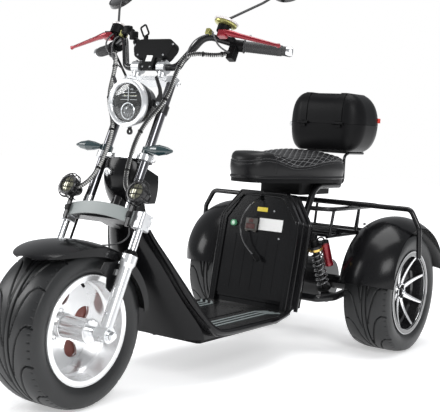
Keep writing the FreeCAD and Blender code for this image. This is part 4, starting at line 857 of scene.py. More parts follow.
def seat_shell(look):
    """Rings from the seat's foot up its side, round its shoulder and in to its spine.

    On the quilted part the surface is lifted by puff * (|sin pi a| |sin pi b|) ** 0.6, where a and b count the
    stitched lines that cross at each diamond; along the seams it sinks by a narrow bell curve."""
    ring = [(x / 1000.0, LEFT_HUB.y + y / 1000.0) for x, y in SEAT_PLAN]
    ring += [(-x / 1000.0, LEFT_HUB.y + y / 1000.0) for x, y in SEAT_PLAN[-2:0:-1]]
    outline = closed_curve(ring, SEAT_COLUMNS)
    spine = np.stack([np.zeros(SEAT_COLUMNS), np.clip(outline[:, 1], LEFT_HUB.y - 0.5, LEFT_HUB.y - 0.09)], axis=1)
    inward = spine - outline
    reach = np.linalg.norm(inward, axis=1)
    inward = inward / reach[:, None]
    foot = [(0.012, 0.0), (0.004, 0.0), (0.0015, 0.002), (0.001, 0.006), (0.0018, 0.0095), (0.004, 0.011),
            (0.0048, 0.0125), (0.0042, 0.014)]
    rows = []
    edge_top = seat_height(outline[:, 0], outline[:, 1])
    for inset, rise in foot:
        rows.append((np.full(SEAT_COLUMNS, inset), np.full(SEAT_COLUMNS, SEAT_LOW + rise)))
    for share in np.linspace(0.0, 1.0, 22)[1:]:
        low = SEAT_LOW + 0.014
        rows.append((SIDE_INSET - 0.0036 * math.sin(math.pi * share) * np.ones(SEAT_COLUMNS),
                     low + (edge_top - SHOULDER - low) * share))
    for turn in np.linspace(0.0, TAU / 4.0, 18)[1:]:
        inset = SIDE_INSET + SHOULDER * (1.0 - math.cos(turn)) * np.ones(SEAT_COLUMNS)
        place = outline + inward * inset[:, None]
        rows.append((inset, seat_height(place[:, 0], place[:, 1]) - SHOULDER * (1.0 - math.sin(turn))))
    for share in np.linspace(0.0, 1.0, 72)[1:]:
        inset = (SIDE_INSET + SHOULDER) * (1.0 - share) + reach * share
        place = outline + inward * inset[:, None]
        rows.append((inset, seat_height(place[:, 0], place[:, 1])))
    plan = np.stack([outline + inward * inset[:, None] for inset, _ in rows])
    height = np.stack([z for _, z in rows])
    points = np.concatenate([plan, height[..., None]], axis=-1)
    along = np.roll(points, -1, 1) - np.roll(points, 1, 1)
    up = np.gradient(points, axis=0)
    normal = np.cross(along, up)
    normal = normal / np.maximum(np.linalg.norm(normal, axis=-1, keepdims=True), 1e-9)
    crest = seat_height(points[..., 0], points[..., 1])
    drop = crest - points[..., 2]
    station = points[..., 1] - LEFT_HUB.y
    seam_depth = 0.026 + 0.007 * bell(station + 0.32, 0.09) - 0.01 * bell(station + 0.08, 0.12)
    across = points[..., 0] + np.sign(points[..., 0]) * drop
    a = across / look.quilt_pitch + station / (look.quilt_pitch * 2.1)
    b = across / look.quilt_pitch - station / (look.quilt_pitch * 2.1)
    quilted = 1.0 / (1.0 + np.exp((drop - seam_depth + 0.003) / 0.0012))
    quilted = quilted / (1.0 + np.exp(-(station + NOSE_SEAM) / 0.002))
    puff = (np.abs(np.sin(np.pi * a)) * np.abs(np.sin(np.pi * b))) ** 0.6
    lift = look.quilt_puff * (puff - 0.55) * quilted
    on_side = height > SEAT_LOW + 0.02
    seam = 0.0022 * bell(drop - seam_depth, 0.0022) * on_side
    nose = 0.002 * bell(station + NOSE_SEAM, 0.0028) * on_side
    points = points + normal * (lift - np.maximum(seam, nose))[..., None]
    return points, a, b, quilted, normal, drop - seam_depth


class TrikeSeat(bpy.types.Operator):
    """Quilted seat cover with its seams and stitches, in place of the plain cushion"""

    bl_idname = "trike.seat"
    bl_label = "Cushion cover"

    def execute(self, context):
        look = context.scene.trike_look
        points, a, b, quilted, normal, above = seat_shell(look)
        shape = grid(points, wrap_v=True, cap_start=True)
        lines = np.where(quilted[..., None] > 0.5, np.stack([a, b], axis=-1), 0.5).reshape(-1, 2)
        corners = np.array(shape[1][:-1]).ravel()
        shape[2][:len(corners)] = lines[corners]
        made = piece("seat_cover", [shape], "quilt", "frame", smooth=80.0)
        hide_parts("seat_cushion")
        threads = []
        for shift in (-BESIDE_SEAM, BESIDE_SEAM):
            line, raised = [], []
            for column in range(points.shape[1]):
                level = -above[:SIDE_ROWS, column]
                line.append(at_length(-shift, level, points[:SIDE_ROWS, column]))
                raised.append(at_length(-shift, level, normal[:SIDE_ROWS, column]))
            threads += stitches(np.array(line + line[:1]), np.array(raised + raised[:1]), *STITCH)
        for shift in (-NOSE_SEAM - BESIDE_NOSE, -NOSE_SEAM + BESIDE_NOSE):
            for half in (slice(0, SEAT_COLUMNS // 2), slice(SEAT_COLUMNS // 2, SEAT_COLUMNS)):
                line, raised = [], []
                for row in range(NOSE_FIRST_ROW, len(points)):
                    order = np.argsort(points[row, half, 1])
                    run, up = points[row, half][order], normal[row, half][order]
                    at = LEFT_HUB.y + shift
                    if run[0, 1] < at < run[-1, 1]:
                        line.append(at_length(at, run[:, 1], run))
                        raised.append(at_length(at, run[:, 1], up))
                threads += stitches(line, raised, *STITCH)
        piece("seat_stitches", threads, "thread", "frame", weld=False)
        return {"FINISHED"}


# headlight and spotlights

class TrikeHeadlight(bpy.types.Operator):
    """Rim, lens, bowl, bright bars, projector, lug, stays and bolts of the headlight"""

    bl_idname = "trike.headlight"
    bl_label = "Headlight"

    def execute(self, context):
        centre = np.array([0.0, LAMP[0], LAMP[1]])
        rim = mm([(-14, 75.5), (-8, 77), (-1, 76.8), (4, 74.5), (6.2, 70.5), (6, 66.5), (4, 63), (0.5, 60.5),
                  (-4, 59.8), (-18, 59.8)])
        piece("headlight_rim", [lathe(rim, centre, AHEAD, 96)], "rim_satin", "steering")
        lens = mm([(-4, 59.5), (-2, 59.5), (1.2, 52), (3.6, 34), (4.8, 16), (5, 0), (3.3, 0), (3.1, 16), (1.9, 34),
                   (-0.5, 52), (-4, 58), (-4, 59.5)])
        made = piece("headlight_glass", [lathe(lens, centre, AHEAD, 72)], "lens", "steering")
        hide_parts("headlight_lens")
        bowl = mm([(-21.5, 0), (-21.5, 20), (-19, 40), (-12, 55), (-6, 59.6)])
        piece("headlight_bowl", [lathe(bowl, centre, AHEAD, 72)], "lamp_bowl", "steering", smooth=40.0)
        low = centre + [0.0, 0.0, -0.026]
        hood = mm([(-21, 21), (-10, 26.5), (-6.5, 28), (-4.5, 26.5), (-6, 24), (-19.5, 20.5)])
        bright = [lathe(hood, low, AHEAD, 48)]
        for level, reach in ((0.01, 0.034), (0.021, 0.03), (0.032, 0.026), (0.043, 0.018)):
            for side in BOTH_SIDES:
                bright.append(block(centre + [side * 0.004, 0.009, level - 0.001],
                                    centre + [side * reach, 0.019, level + 0.001], 0.0006))
        bright.append(block(centre + [-0.0016, 0.006, 0.004], centre + [0.0016, 0.019, 0.05], 0.0008))
        piece("headlight_reflector", bright, "chrome", "steering", smooth=40.0)
        ball = mm([(-19.5, 21.5), (-12, 21), (-7.5, 16.5), (-5.2, 9), (-4.5, 0), (-19.5, 0)])
        piece("headlight_projector", [lathe(ball, low, AHEAD, 40)], "dark_glass", "steering")
        leds = [block(centre + [x - 0.0035, 0.0165, 0.02], centre + [x + 0.0035, 0.0185, 0.0245], 0.0006)
                for x in (-0.022, -0.011, 0.0, 0.011, 0.022)]
        piece("headlight_leds", leds, "led", "steering")
        lug = mm([(-3, 4.6), (-3, 10), (3, 10), (3, 4.6), (-3, 4.6)])
        piece("headlight_lug", [lathe(lug, centre + [0.0, 0.02, -0.0895], AHEAD, 32),
                                block(centre + [-0.0065, 0.017, -0.0825], centre + [0.0065, 0.023, -0.072], 0.001)],
              "black_metal", "steering")
        stay = mm([(28, -12), (50, -12), (66, 30), (60, 50), (36, 88), (26, 82), (46, 46), (48, 32), (34, 12)])
        stays = [slab(stay, (side * 0.0875 - 0.0015, LAMP[0], LAMP[1]), BEHIND, UP, 0.003)
                 for side in BOTH_SIDES]
        piece("headlight_stays", stays, "black_metal", "steering")
        bolts = [screw((side * 0.0885, LAMP[0] + 0.04, LAMP[1]), (side, 0.0, 0.0), 0.009, 0.006)
                 for side in BOTH_SIDES]
        piece("headlight_bolts", bolts, "chrome", "steering")
        return {"FINISHED"}


class TrikeSpotlights(bpy.types.Operator):
    """Rims, lenses and cages of the two spotlights"""

    bl_idname = "trike.spotlights"
    bl_label = "Spotlights"

    def execute(self, context):
        rims, lenses, cages = [], [], []
        for side in BOTH_SIDES:
            centre = np.array([side * 0.14, -0.056, 0.426])
            rims.append(lathe(mm([(-16, 30.6), (-14, 32.5), (1, 33.2), (4, 31), (4.5, 27.5), (2, 25.5), (-4, 25)]),
                              centre, AHEAD, 48))
            lenses.append(lathe(mm([(-3, 25.5), (0.5, 23.5), (3.5, 12), (4.2, 0)]), centre, AHEAD, 36))
            for shift in (-0.009, 0.009):
                half = math.sqrt(0.029 ** 2 - shift ** 2)
                bars = ([(-half, 0.001, shift), (-half * 0.8, -0.006, shift), (half * 0.8, -0.006, shift),
                         (half, 0.001, shift)],
                        [(shift, 0.001, -half), (shift, -0.0085, -half * 0.8), (shift, -0.0085, half * 0.8),
                         (shift, 0.001, half)])
                cages += [tube(smooth_line(np.array(bar) + centre, 6), 0.0013, 8) for bar in bars]
            for turn in np.arange(8) * TAU / 8 + 0.2:
                away = np.array([math.cos(turn), 0.0, math.sin(turn)])
                hoop = [centre + away * r + [0.0, y, 0.0] for r, y in
                        ((0.031, -0.001), (0.04, 0.0), (0.041, 0.014), (0.036, 0.03), (0.0235, 0.036))]
                cages.append(tube(smooth_line(np.array(hoop), 6), 0.0018, 8))
            beside = turns(48)
            halo = 0.0405 * np.column_stack([np.cos(beside), np.zeros(48), np.sin(beside)])
            halo = centre + halo + [0.0, 0.006, 0.0]
            cages.append(tube(halo, 0.0016, 8, closed=True))
        piece("spotlight_rims", rims, "black_metal", "steering", on_fork)
        piece("spotlight_lenses", lenses, "led_lens", "steering", on_fork)
        piece("spotlight_cages", cages, "black_metal", "steering", on_fork)
        return {"FINISHED"}


class TrikeCockpit(bpy.types.Operator):
    """Dash face, clamp bolts, grips, reservoirs, levers, wires, switches and mirrors of the handlebar"""

    bl_idname = "trike.cockpit"
    bl_label = "Cockpit"

    def execute(self, context):
        bright, dark, rings, lids, reds, wires, ribs = [], [], [], [], [], [], []
        for x, z in ((0.078, 0.934), (0.052, 0.896), (0.015, 0.853)):
            bright += [screw((side * x, -0.0436, z), AHEAD, 0.0036, 0.002, 16, 0.6) for side in BOTH_SIDES]
        plate = block((-0.011, -0.0452, 0.872), (0.013, -0.0434, 0.894), 0.0015)
        piece("dash_square", [plate], "white_plate", "steering", on_fork)
        bezel = mm([(0, 0), (0, 41), (4, 43), (10, 41), (12, 38), (8.5, 36.5), (8.5, 0)])
        dark.append(lathe(bezel, (0.0, -0.0098, 0.92), BEHIND, 64))
        for side in BOTH_SIDES:
            dark.append(screw((side * 0.066, -0.0096, 0.925), BEHIND, 0.007, 0.004, 20, 0.5))
        face = lathe(mm([(0, 36.2), (1.2, 34), (2, 0)]), (0.0, -0.0015, 0.92), BEHIND, 48)
        piece("dash_glass", [face], "dark_glass", "steering", on_fork)
        for side in BOTH_SIDES:
            for x in (0.043, 0.061):
                bright.append(screw((side * x, -0.028, 0.8805), (0.0, -0.35, 1.0), 0.0042, 0.005))
                bright.append(screw((side * x, -0.006, 0.8755), (0.0, 0.6, 1.0), 0.0042, 0.005))
            for z, reach in ((0.823, 0.0222), (0.554, 0.0242)):
                bright.append(screw((side * (0.086 + reach * 0.9), 0.01, z), (side, 0.35, 0.0), 0.005, 0.006))
            cap = mm([(0, 0), (0, 13.5), (2, 14.5), (5, 12), (6, 0)])
            bright.append(lathe(cap, (side * 0.086, 0.0, 0.8342), UP, 32))
        bright.append(screw((0.0, 0.045, 0.5682), UP, 0.016, 0.009))
        bright.append(lathe(mm([(0, 0), (0, 19), (3, 19), (3, 0)]), (0.0, 0.045, 0.5641), UP, 32))
        along = unit([0.128, 0.061, 0.016])
        start = np.array([0.264, 0.055, 0.983])
        for side in BOTH_SIDES:
            flip = np.array([side, 1.0, 1.0])
            for distance in np.arange(0.02, 0.122, 0.0055):
                rib = mm([(-1.6, 16.6), (-0.8, 17.8), (0.8, 17.8), (1.6, 16.6)])
                ribs.append(lathe(rib, (start + along * distance) * flip, along * flip, 24))
            flange = mm([(0, 16.5), (0, 21), (2, 22), (4, 21), (4, 16.5)])
            ribs.append(lathe(flange, (start + along * 0.0085) * flip, along * flip, 32))
            end = mm([(0, 0), (-1, 15.5), (12, 16.5), (18, 14), (20, 9), (20, 0)])
            bright.append(lathe(end, (start + along * 0.144) * flip, along * flip, 32))
            pot = np.array([side * 0.223, -0.002, 1.0264])
            wide, lean = (1.1, np.array([0.13, -0.1, 1.0])) if side > 0 else (0.62, np.array([-0.03, -0.1, 1.0]))
            ring = mm([(-4, 0), (-4, 26), (0, 32.5), (4, 33.5), (6.5, 32), (7, 0)])
            rings.append(lathe([(z, r * wide) for z, r in ring], pot, lean, 48))
            cap = mm([(7.2, 0), (7.2, 34.5), (9, 36), (12.5, 35.5), (14.5, 31), (16, 18), (16.4, 0)])
            lids.append(lathe([(z, r * wide) for z, r in cap], pot, lean, 48))
            base = np.array([side * 0.2572, -0.0182, 0.9869])
            run = np.array([side * 0.1768, 0.0382, -0.0259])
            share = np.linspace(-0.1, 1.0, 40)
            thick = np.interp(share, [-0.1, 0.0, 0.1, 0.22, 0.6, 0.93, 0.955, 0.985, 1.0],
                              [0.0075, 0.0105, 0.01, 0.008, 0.0066, 0.0052, 0.0072, 0.0072, 0.003])
            reds.append(tube(base + run * share[:, None], thick, 20))
            reds.append(block(base + [side * -0.036, -0.01, -0.014], base + [side * -0.004, 0.014, 0.009], 0.004))
            for where, size in ((0.02, 0.0056), (0.42, 0.0034)):
                at = base + run * where + [0.0, 0.0, 0.0085 - 0.003 * where]
                bright.append(screw(at, UP, size, 0.004, 20, 0.5))
            rings.append(block((side * 0.17, -0.024, 0.984), (side * 0.186, 0.004, 1.004), 0.003))
            for thin, line in (
                    (0.0028, [(205, -30, 985), (222, -36, 965), (236, -10, 938), (250, 30, 944)]),
                    (0.0022, [(185, -20, 982), (172, -52, 955), (158, -60, 905), (150, -40, 872), (120, -20, 858)])):
                wires.append(tube(smooth_line(mm(line) * flip, 16), thin, 10))
            dark.append(block((side * 0.24, 0.026, 0.945 if side < 0 else 0.924), (side * 0.266, 0.052, 0.968), 0.003))
            bright.append(screw((start + [-0.008, -0.062, 0.01]) * flip, UP, 0.005, 0.004, 16))
        dark = [placed(shape, on_fork) for shape in dark]
        bundle = smooth_line(mm([(-178, -362, 1150), (-150, -378, 1160), (-125, -390, 1156), (-98, -400, 1136),
                                 (-80, -404, 1110)]), 14)
        lumps = 0.0095 + 0.0035 * np.sin(np.linspace(0.0, 5.5 * TAU, len(bundle)))
        dark.append(tube(bundle, lumps, 14))
        dark.append(block((-0.146, -0.402, 1.146), (-0.122, -0.38, 1.172), 0.004))
        dark.append(block((-0.112, -0.412, 1.124), (-0.09, -0.388, 1.152), 0.004))
        turn = math.radians(28.0)
        frame_line = round_rectangle(0.012, 0.017, 0.005) @ np.array([[math.cos(turn), math.sin(turn)],
                                                                      [-math.sin(turn), math.cos(turn)]])
        ring_path = np.column_stack([frame_line[:, 0] - 0.055, np.full(len(frame_line), -0.4),
                                     frame_line[:, 1] + 1.153])
        dark.append(tube(ring_path, 0.003, 12, closed=True))
        dark.append(block((-0.056, -0.405, 1.112), (-0.042, -0.395, 1.138), 0.002))
        piece("cockpit_bolts", bright, "chrome", "steering", on_fork)
        piece("cockpit_plastic", dark, "moulded", "steering")
        piece("reservoir_rings", rings, "olive", "steering", on_fork)
        piece("reservoir_lids", lids, "pale_lid", "steering", on_fork)
        made = piece("lever_blades", reds, "red", "steering", on_fork)
        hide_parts("levers")
        piece("control_wires", wires, "wire", "steering", on_fork)
        piece("grip_ribs", ribs, "grip", "steering", on_fork)
        foot = np.array([0.229, -0.002, 1.0333])
        glasses, shells = [], []
        for side in BOTH_SIDES:
            flip = np.array([side, 1.0, 1.0])
            axis = unit([-0.002, 0.014, -0.006]) * flip
            centre = (foot + [0.121, 0.1, 0.169]) * flip
            glasses.append(lathe(mm([(0.6, 46.5), (1.2, 0)]), centre, axis, 64))
            edge = mm([(-17, 0), (-17.5, 30), (-15, 44), (-10, 50.2), (0, 51.5), (1.8, 50.5), (1.8, 47.5),
                       (0.2, 46.5)])
            shells.append(lathe(edge, centre, axis, 64))
            shells.append(screw(foot * flip, UP, 0.0085, 0.008))
        piece("mirror_glass", glasses, "mirror", "steering", on_fork)
        piece("mirror_shells", shells, "gloss_alloy", "steering", on_fork)
        return {"FINISHED"}


# cables

LOOM = [(245, 46, 966), (238, 20, 925), (150, -44, 905), (128, -44, 850), (122, -36, 740), (50, -34, 640),
        (54, -33, 500), (84, -42, 432), (108.8, -44, 426)]
LOOM_RINGS = 420
HOSE = mm([(128, -650, 540), (124, -640, 522), (108, -640, 500), (85, -655, 486), (50, -659, 479.5),
           (30, -664, 477.5), (18, -668, 470)])


class TrikeCables(bpy.types.Operator):
    """Wound cable looms beside the lamp in place of the plain ones, their ties and the fender's hose"""

    bl_idname = "trike.cables"
    bl_label = "Cables"

    def execute(self, context):
        line = smooth_line(mm(LOOM), 28)
        gone = run_length(line)
        at = np.linspace(0.0, gone[-1], LOOM_RINGS)
        even = at_length(at, gone, line)
        ripple = 0.0068 + 0.0005 * np.sin(at / 0.0058 * TAU)
        sleeve = tube(even, ripple, 20)
        made = piece("loom_sleeves", [sleeve, mirrored(sleeve)], "wound", "steering", on_fork)
        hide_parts("cable_looms")
        ties = []
        for where in (0.07, 0.16, 0.3, 0.47, 0.66, 0.86):
            index = int(where * (LOOM_RINGS - 1))
            axis = even[index + 1] - even[index - 1]
            band = lathe(mm([(-2.2, 6.8), (-2.2, 8.6), (2.2, 8.6), (2.2, 6.8)]), even[index], axis, 24)
            ties += [band, mirrored(band)]
        hose = smooth_line(HOSE, 16)
        piece("fender_hose", [tube(hose, 0.0024, 10)], "wire", "steering")
        piece("loom_ties", ties, "moulded", "steering", on_fork)
        return {"FINISHED"}


LEAD = [(-8, -6, 414), (-14, -36, 400), (-38, -40, 362), (-60, -34, 326), (-60, -30, 284), (-42, -28, 246),
        (-16, -26, 216), (10, -22, 196)]


class TrikeLead(bpy.types.Operator):
    """Charge lead that hangs from the battery's face, with its plug"""

    bl_idname = "trike.lead"
    bl_label = "Charge lead"

    def execute(self, context):
        route = on_battery(mm(LEAD))
        data = bpy.data.curves.new("charge_lead_line", "CURVE")
        data.dimensions = "3D"
        spline = data.splines.new("NURBS")
        spline.points.add(len(route) - 1)
        spline.points.foreach_set("co", np.column_stack([route, np.ones(len(route))]).ravel())
        spline.order_u = 3
        spline.use_endpoint_u = True
        spline.resolution_u = 12
        data.bevel_depth = 0.003
        data.bevel_resolution = 5
        data.use_fill_caps = True
        data.materials.append(material("lead"))
        lead = bpy.data.objects.new("hanging_lead", data)
        context.scene.collection.objects.link(lead)
        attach(lead, "frame")
        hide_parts("charge_lead")
        along = route[-1] - route[-2]
        profile = mm([(0, 0), (0, 3.6), (2, 5), (10, 5.2), (10.5, 7.2), (13, 7.8), (30, 7.8), (31.5, 6.6), (34, 6.4),
                      (34, 0)])
        shapes = [lathe(profile, route[-1], along, 28)]
        for where in (0.0025, 0.005, 0.0075):
            shapes.append(lathe(mm([(-0.8, 4.8), (0, 5.8), (0.8, 4.8)]), route[-1] + unit(along) * where, along, 20))
        plug = piece("lead_plug", shapes, "moulded", "frame")
        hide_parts("charge_plug")
        return {"FINISHED"}


# battery

def battery_ridge(depth, reach, thick):
    """A ridge round the battery's surround at one depth: up one side, over the top and down the other."""
    right = [(176.5, 4), (180, 160), (180, 330), (178, 345), (108, 442), (96, 446)]
    outline = [(x + reach, z + (reach if z > 350 else 0.0)) for x, z in right]
    outline = outline + [(-x, z) for x, z in outline[::-1]]
    line = smooth_line(mm([(x, depth, z) for x, z in outline]), 10)
    return tube(line, thick, 10)


class TrikeBattery(bpy.types.Operator):
    """Ridges, round lamp, fuse box, socket and blank plates of the battery"""

    bl_idname = "trike.battery"
    bl_label = "Battery"

    def execute(self, context):
        ridges = [battery_ridge(34.0, -1.6, 0.0046), battery_ridge(84.0, -2.0, 0.008)]
        ridges += [battery_ridge(1.5, reach, 0.0036) for reach in (-3.6, -16.0)]
        piece("battery_ridges", ridges, "gloss_body", "frame", on_battery)

        def flat(x0, x1, z0, z1, near, far, bevel):
            return block(mm([x0, near, z0]), mm([x1, far, z1]), bevel)

        fuse = piece("fuse_box", [flat(-56, -4, 287, 337, -8, 6, 0.004), flat(-53, -44, 283, 287, -4, 4, 0.001),
                                  flat(-16, -7, 283, 287, -4, 4, 0.001)], "fuse_grey", "frame", on_battery)
        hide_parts("battery_trim")
        piece("fuse_lid", [flat(-50, -10, 294, 314, -12.4, -7, 0.003), flat(-40, -20, 318, 332, -9.6, -7.5, 0.001)],
              "fuse_red", "frame", on_battery)
        for colour, plate in (("white", flat(0, 106, 294, 341, 4.4, 5.9, 0.0015)),
                              ("yellow", flat(-18, 29, 366, 383, 4.4, 5.9, 0.001))):
            piece("plate_" + colour, [plate], colour + "_plate", "frame", on_battery)
        lamp = (-0.114, -0.003, 0.311)
        ring = lathe(mm([(-9, 12.2), (1, 12.2), (2.5, 11.2), (2, 8.8), (-1, 8.2)]), lamp, AHEAD, 40)
        piece("charge_lamp_ring", [ring], "green_ring", "frame", on_battery)
        dome = lathe(mm([(-1, 8.4), (1, 7), (2.2, 4), (2.6, 0)]), lamp, AHEAD, 32)
        piece("charge_lamp", [dome], "green_lens", "frame", on_battery)
        bolts = [screw((x / 1000.0, 0.006, z / 1000.0), AHEAD, 0.0045, 0.0025, 16, 0.5)
                 for x, z in ((60, 372), (98, 268))]
        piece("battery_screws", bolts, "chrome", "frame", on_battery)
        gland = mm([(0, 0), (0, 4.5), (1, 6.6), (4, 7.2), (18, 7.6), (18, 0)])
        socket = lathe(gland, mm(LEAD[0]), mm(np.subtract(LEAD[0], LEAD[1])), 28)
        piece("charge_gland", [socket], "moulded", "frame", on_battery)
        sill = [flat(-150, 150, -3, 40, 14, 90, 0.004), flat(-150, 150, 20, 36, 8, 20, 0.003)]
        piece("battery_sill", sill, "gloss_body", "frame", on_battery)
        channels = [flat(x - 1.6, x + 1.6, 60, 270, 4.6, 6.6, 0.001) for x in (-96, -48, 0, 48, 96)]
        piece("battery_channels", channels, "gloss_body", "frame", on_battery)
        return {"FINISHED"}


# suspension, fork, body and box details

SHOCK_LOW = np.array([0.2, LEFT_HUB.y - 0.223, 0.224])
SHOCK_HIGH = np.array([0.172, LEFT_HUB.y - 0.298, 0.452])


class TrikeShocks(bpy.types.Operator):
    """Collars, rings, red reservoirs and hoses of the rear shocks"""

    bl_idname = "trike.shocks"
    bl_label = "Shocks"

    def execute(self, context):
        axis = unit(SHOCK_HIGH - SHOCK_LOW)
        length = np.linalg.norm(SHOCK_HIGH - SHOCK_LOW)
        gold, red, black = [], [], []
        for share in (0.8, 0.12):
            collar = mm([(-10.2, 13.8), (-10.2, 26.2), (-8.5, 27.8), (0.2, 27.8), (1.2, 25.5), (1.2, 13.8)])
            kept = gold if share > 0.5 else black
            kept.append(lathe(collar, SHOCK_LOW + axis * length * share, axis, 48))
        for share in (0.855, 0.885, 0.915):
            washer = mm([(-2, 14), (-2, 18.5), (2, 18.5), (2, 14)])
            black.append(lathe(washer, SHOCK_LOW + axis * length * share, axis, 24))
        beside = np.array([0.026, 0.038, 0.0])
        low = SHOCK_LOW + axis * length * 0.5 + beside
        high = SHOCK_LOW + axis * length * 0.92 + beside
        reach = np.linalg.norm(high - low)
        body = [(-0.0005, 0.0), (-0.0005, 0.015), (0.002, 0.0168), (0.012, 0.0168), (0.013, 0.0162), (0.016, 0.0162),
                (0.017, 0.0168), (reach - 0.01, 0.0168), (reach - 0.009, 0.016), (reach - 0.004, 0.016)]
        red.append(lathe(body, low, axis, 40))
        cap = [(reach - 0.004, 0.0163), (reach + 0.001, 0.0165), (reach + 0.003, 0.0145), (reach + 0.003, 0.0)]
        black.append(lathe(cap, low, axis, 32))
        black.append(tube(smooth_line([high + axis * 0.003, high + axis * 0.016, high + axis * 0.016 - beside * 0.5,
                                       SHOCK_LOW + axis * length * 0.93 + beside * 0.25], 12), 0.003, 10))
        for kind, shapes, worn, slot in (("gold", gold, "gold", "shock_chrome"), ("red", red, "red", "red_anodised"),
                                         ("black", black, "moulded", "hose_black")):
            piece("shock_" + kind, shapes + [mirrored(shape) for shape in shapes], worn, "frame")
        return {"FINISHED"}


class TrikeFasteners(bpy.types.Operator):
    """Bolts and seals of the fork, straps of its band and brackets of the front fender"""

    bl_idname = "trike.fasteners"
    bl_label = "Fasteners"

    def execute(self, context):
        bright, dark, strap = [], [], []
        for side in BOTH_SIDES:
            for z in (0.338, 0.364):
                bright.append(screw((side * 0.1722, 0.014, z), (side, 0.0, 0.0), 0.0048, 0.004))
            bright.append(screw((side * 0.184, 0.0, 0.0), (side, 0.0, 0.0), 0.0135, 0.006))
            washer = mm([(0, 0), (0, 18.5), (2.5, 18.5), (2.5, 0)])
            bright.append(lathe(washer, (side * 0.1722, 0.0, 0.0), (side, 0.0, 0.0), 32))
            bright.append(screw((side * 0.15, -0.0238, 0.23), AHEAD, 0.005, 0.005))
            bright.append(screw((side * 0.15, -0.0188, 0.06), AHEAD, 0.0045, 0.004))
            for y in (-0.008, 0.006):
                bright.append(screw((side * 0.122, y, 0.216), (side, 0.0, 0.0), 0.005, 0.005))
            dust = mm([(0, 14), (0, 22.5), (3, 23.5), (6, 20), (9, 20.5), (12, 17), (16, 14.2)])
            dark.append(lathe(dust, (side * 0.15, 0.0, 0.2431), UP, 40))
            ribbon = mm([(-21.5, 390.5), (-33.5, 390.5), (-36.5, 387), (-36.5, 327.5), (-33.5, 324), (-21.5, 324),
                         (-21.5, 326), (-32.5, 326), (-34, 328), (-34, 386.5), (-32.5, 388.5), (-21.5, 388.5)])
            strap.append(slab(ribbon, (side * 0.127 - 0.0085, 0.0, 0.0), BEHIND, UP, 0.017))
            strap.append(block((side * 0.1165, -0.0405, 0.35), (side * 0.1375, -0.036, 0.368), 0.002))
        bracket = mm([(-75, 169), (-38, 159), (-25, 130), (-2, 123), (6, 156), (10, 195), (-16, 214), (-70, 195)])
        brackets = [slab(bracket, (side * 0.1225 - 0.002, 0.0, 0.0), BEHIND, UP, 0.004, 0.001) for side in BOTH_SIDES]
        piece("fender_brackets", brackets, "satin_body", "steering", on_fork)
        piece("band_straps", strap, "moulded", "steering", on_fork)
        piece("fork_seals", dark, "moulded", "steering", on_fork)
        piece("fork_bolts", bright, "chrome", "steering", on_fork)
        return {"FINISHED"}


RIM = [(62, -522, 575), (86, -497, 505), (117, -450, 428), (140, -400, 351), (167, -350, 274), (190, -304, 210),
       (200, -262, 177), (201, -200, 168), (201, 0, 167), (201, 90, 167), (184, 178, 168), (172, 235, 171),
       (173, 264, 192)]


class TrikeBody(bpy.types.Operator):
    """Lock face, fender bolts, rims of the deck, box latch and the lens of the box's reflector"""

    bl_idname = "trike.body"
    bl_label = "Body details"

    def execute(self, context):
        lock_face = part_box("neck_lock")[0].y
        centre = middle("neck_lock")
        place = (centre.x, lock_face, centre.z)
        shiny = [lathe(mm([(-2, 0), (-2, 12.5), (1.5, 13), (3, 11.8), (2.6, 7.5), (1, 7), (1, 0)]), place, AHEAD, 40)]
        dark = [block((centre.x - 0.0012, lock_face - 0.0014, centre.z - 0.005),
                      (centre.x + 0.0012, lock_face - 0.0006, centre.z + 0.005), 0.0003)]
        for side in BOTH_SIDES:
            wheel = LEFT_HUB if side > 0 else RIGHT_HUB
            for turn in (-0.35, 0.45):
                out = np.array([0.0, math.sin(turn), math.cos(turn)])
                place = np.array([wheel.x - side * 0.085, wheel.y, wheel.z]) + out * 0.2795
                shiny.append(screw(place, out, 0.006, 0.004))
        edge = smooth_line(mm(RIM), 12)
        share = np.linspace(0.0, 1.0, len(edge))
        rim = tube(edge, np.interp(share, [0.0, 0.25, 0.92, 1.0], [0.005, 0.011, 0.011, 0.007]), 20)
        piece("deck_rims", [rim, mirrored(rim)], "gloss_body", "frame")
        piece("body_bolts", shiny, "chrome", "frame")
        piece("lock_slot", dark, "moulded", "frame")
        low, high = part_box("box_tray")
        side, at = low.x, low.y + 0.083
        latch = [block((side - 0.0075, at - 0.014, 0.8815), (side + 0.006, at + 0.014, 0.8985), 0.002)]
        latch.append(screw((side - 0.0075, at, 0.89), RIGHTWARD, 0.006, 0.002, 24, 0.5))
        piece("box_latch", latch, "cast", "frame")
        corner, half = 0.134, high.x
        turn = np.linspace(math.radians(20.0), TAU / 4.0, 24)
        lens = []
        for reach in (0.0115, 0.0005):
            arc_x = half - corner + (corner + reach) * np.cos(turn)
            arc_y = high.y - corner + (corner + reach) * np.sin(turn)
            run = np.stack([arc_x, arc_y], axis=1)
            lens.append(np.concatenate([run, (run * [-1.0, 1.0])[::-1]]))
        band = np.stack([np.column_stack([lens[inner], np.full(len(lens[0]), z)])
                         for inner, z in ((1, 0.9085), (0, 0.9095), (0, 0.9285), (1, 0.9295))], axis=1)
        made = piece("reflector_lens", [grid(band, wrap_v=True, cap_start=True, cap_end=True)], "reflector",
                     "box_lid")
        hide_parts("box_reflector")
        return {"FINISHED"}


# studio

WHITE = (1.0, 1.0, 1.0, 1.0)
FLOOR_REACH = 14.0
CAMERA_PLACE = Vector((1.9175, -2.7536, 0.8439))
CAMERA_AIM = Vector((0.026, -0.0357, 0.5735))
CAMERA_ROLL = math.radians(3.044)
CAMERA_LENS = 75.92


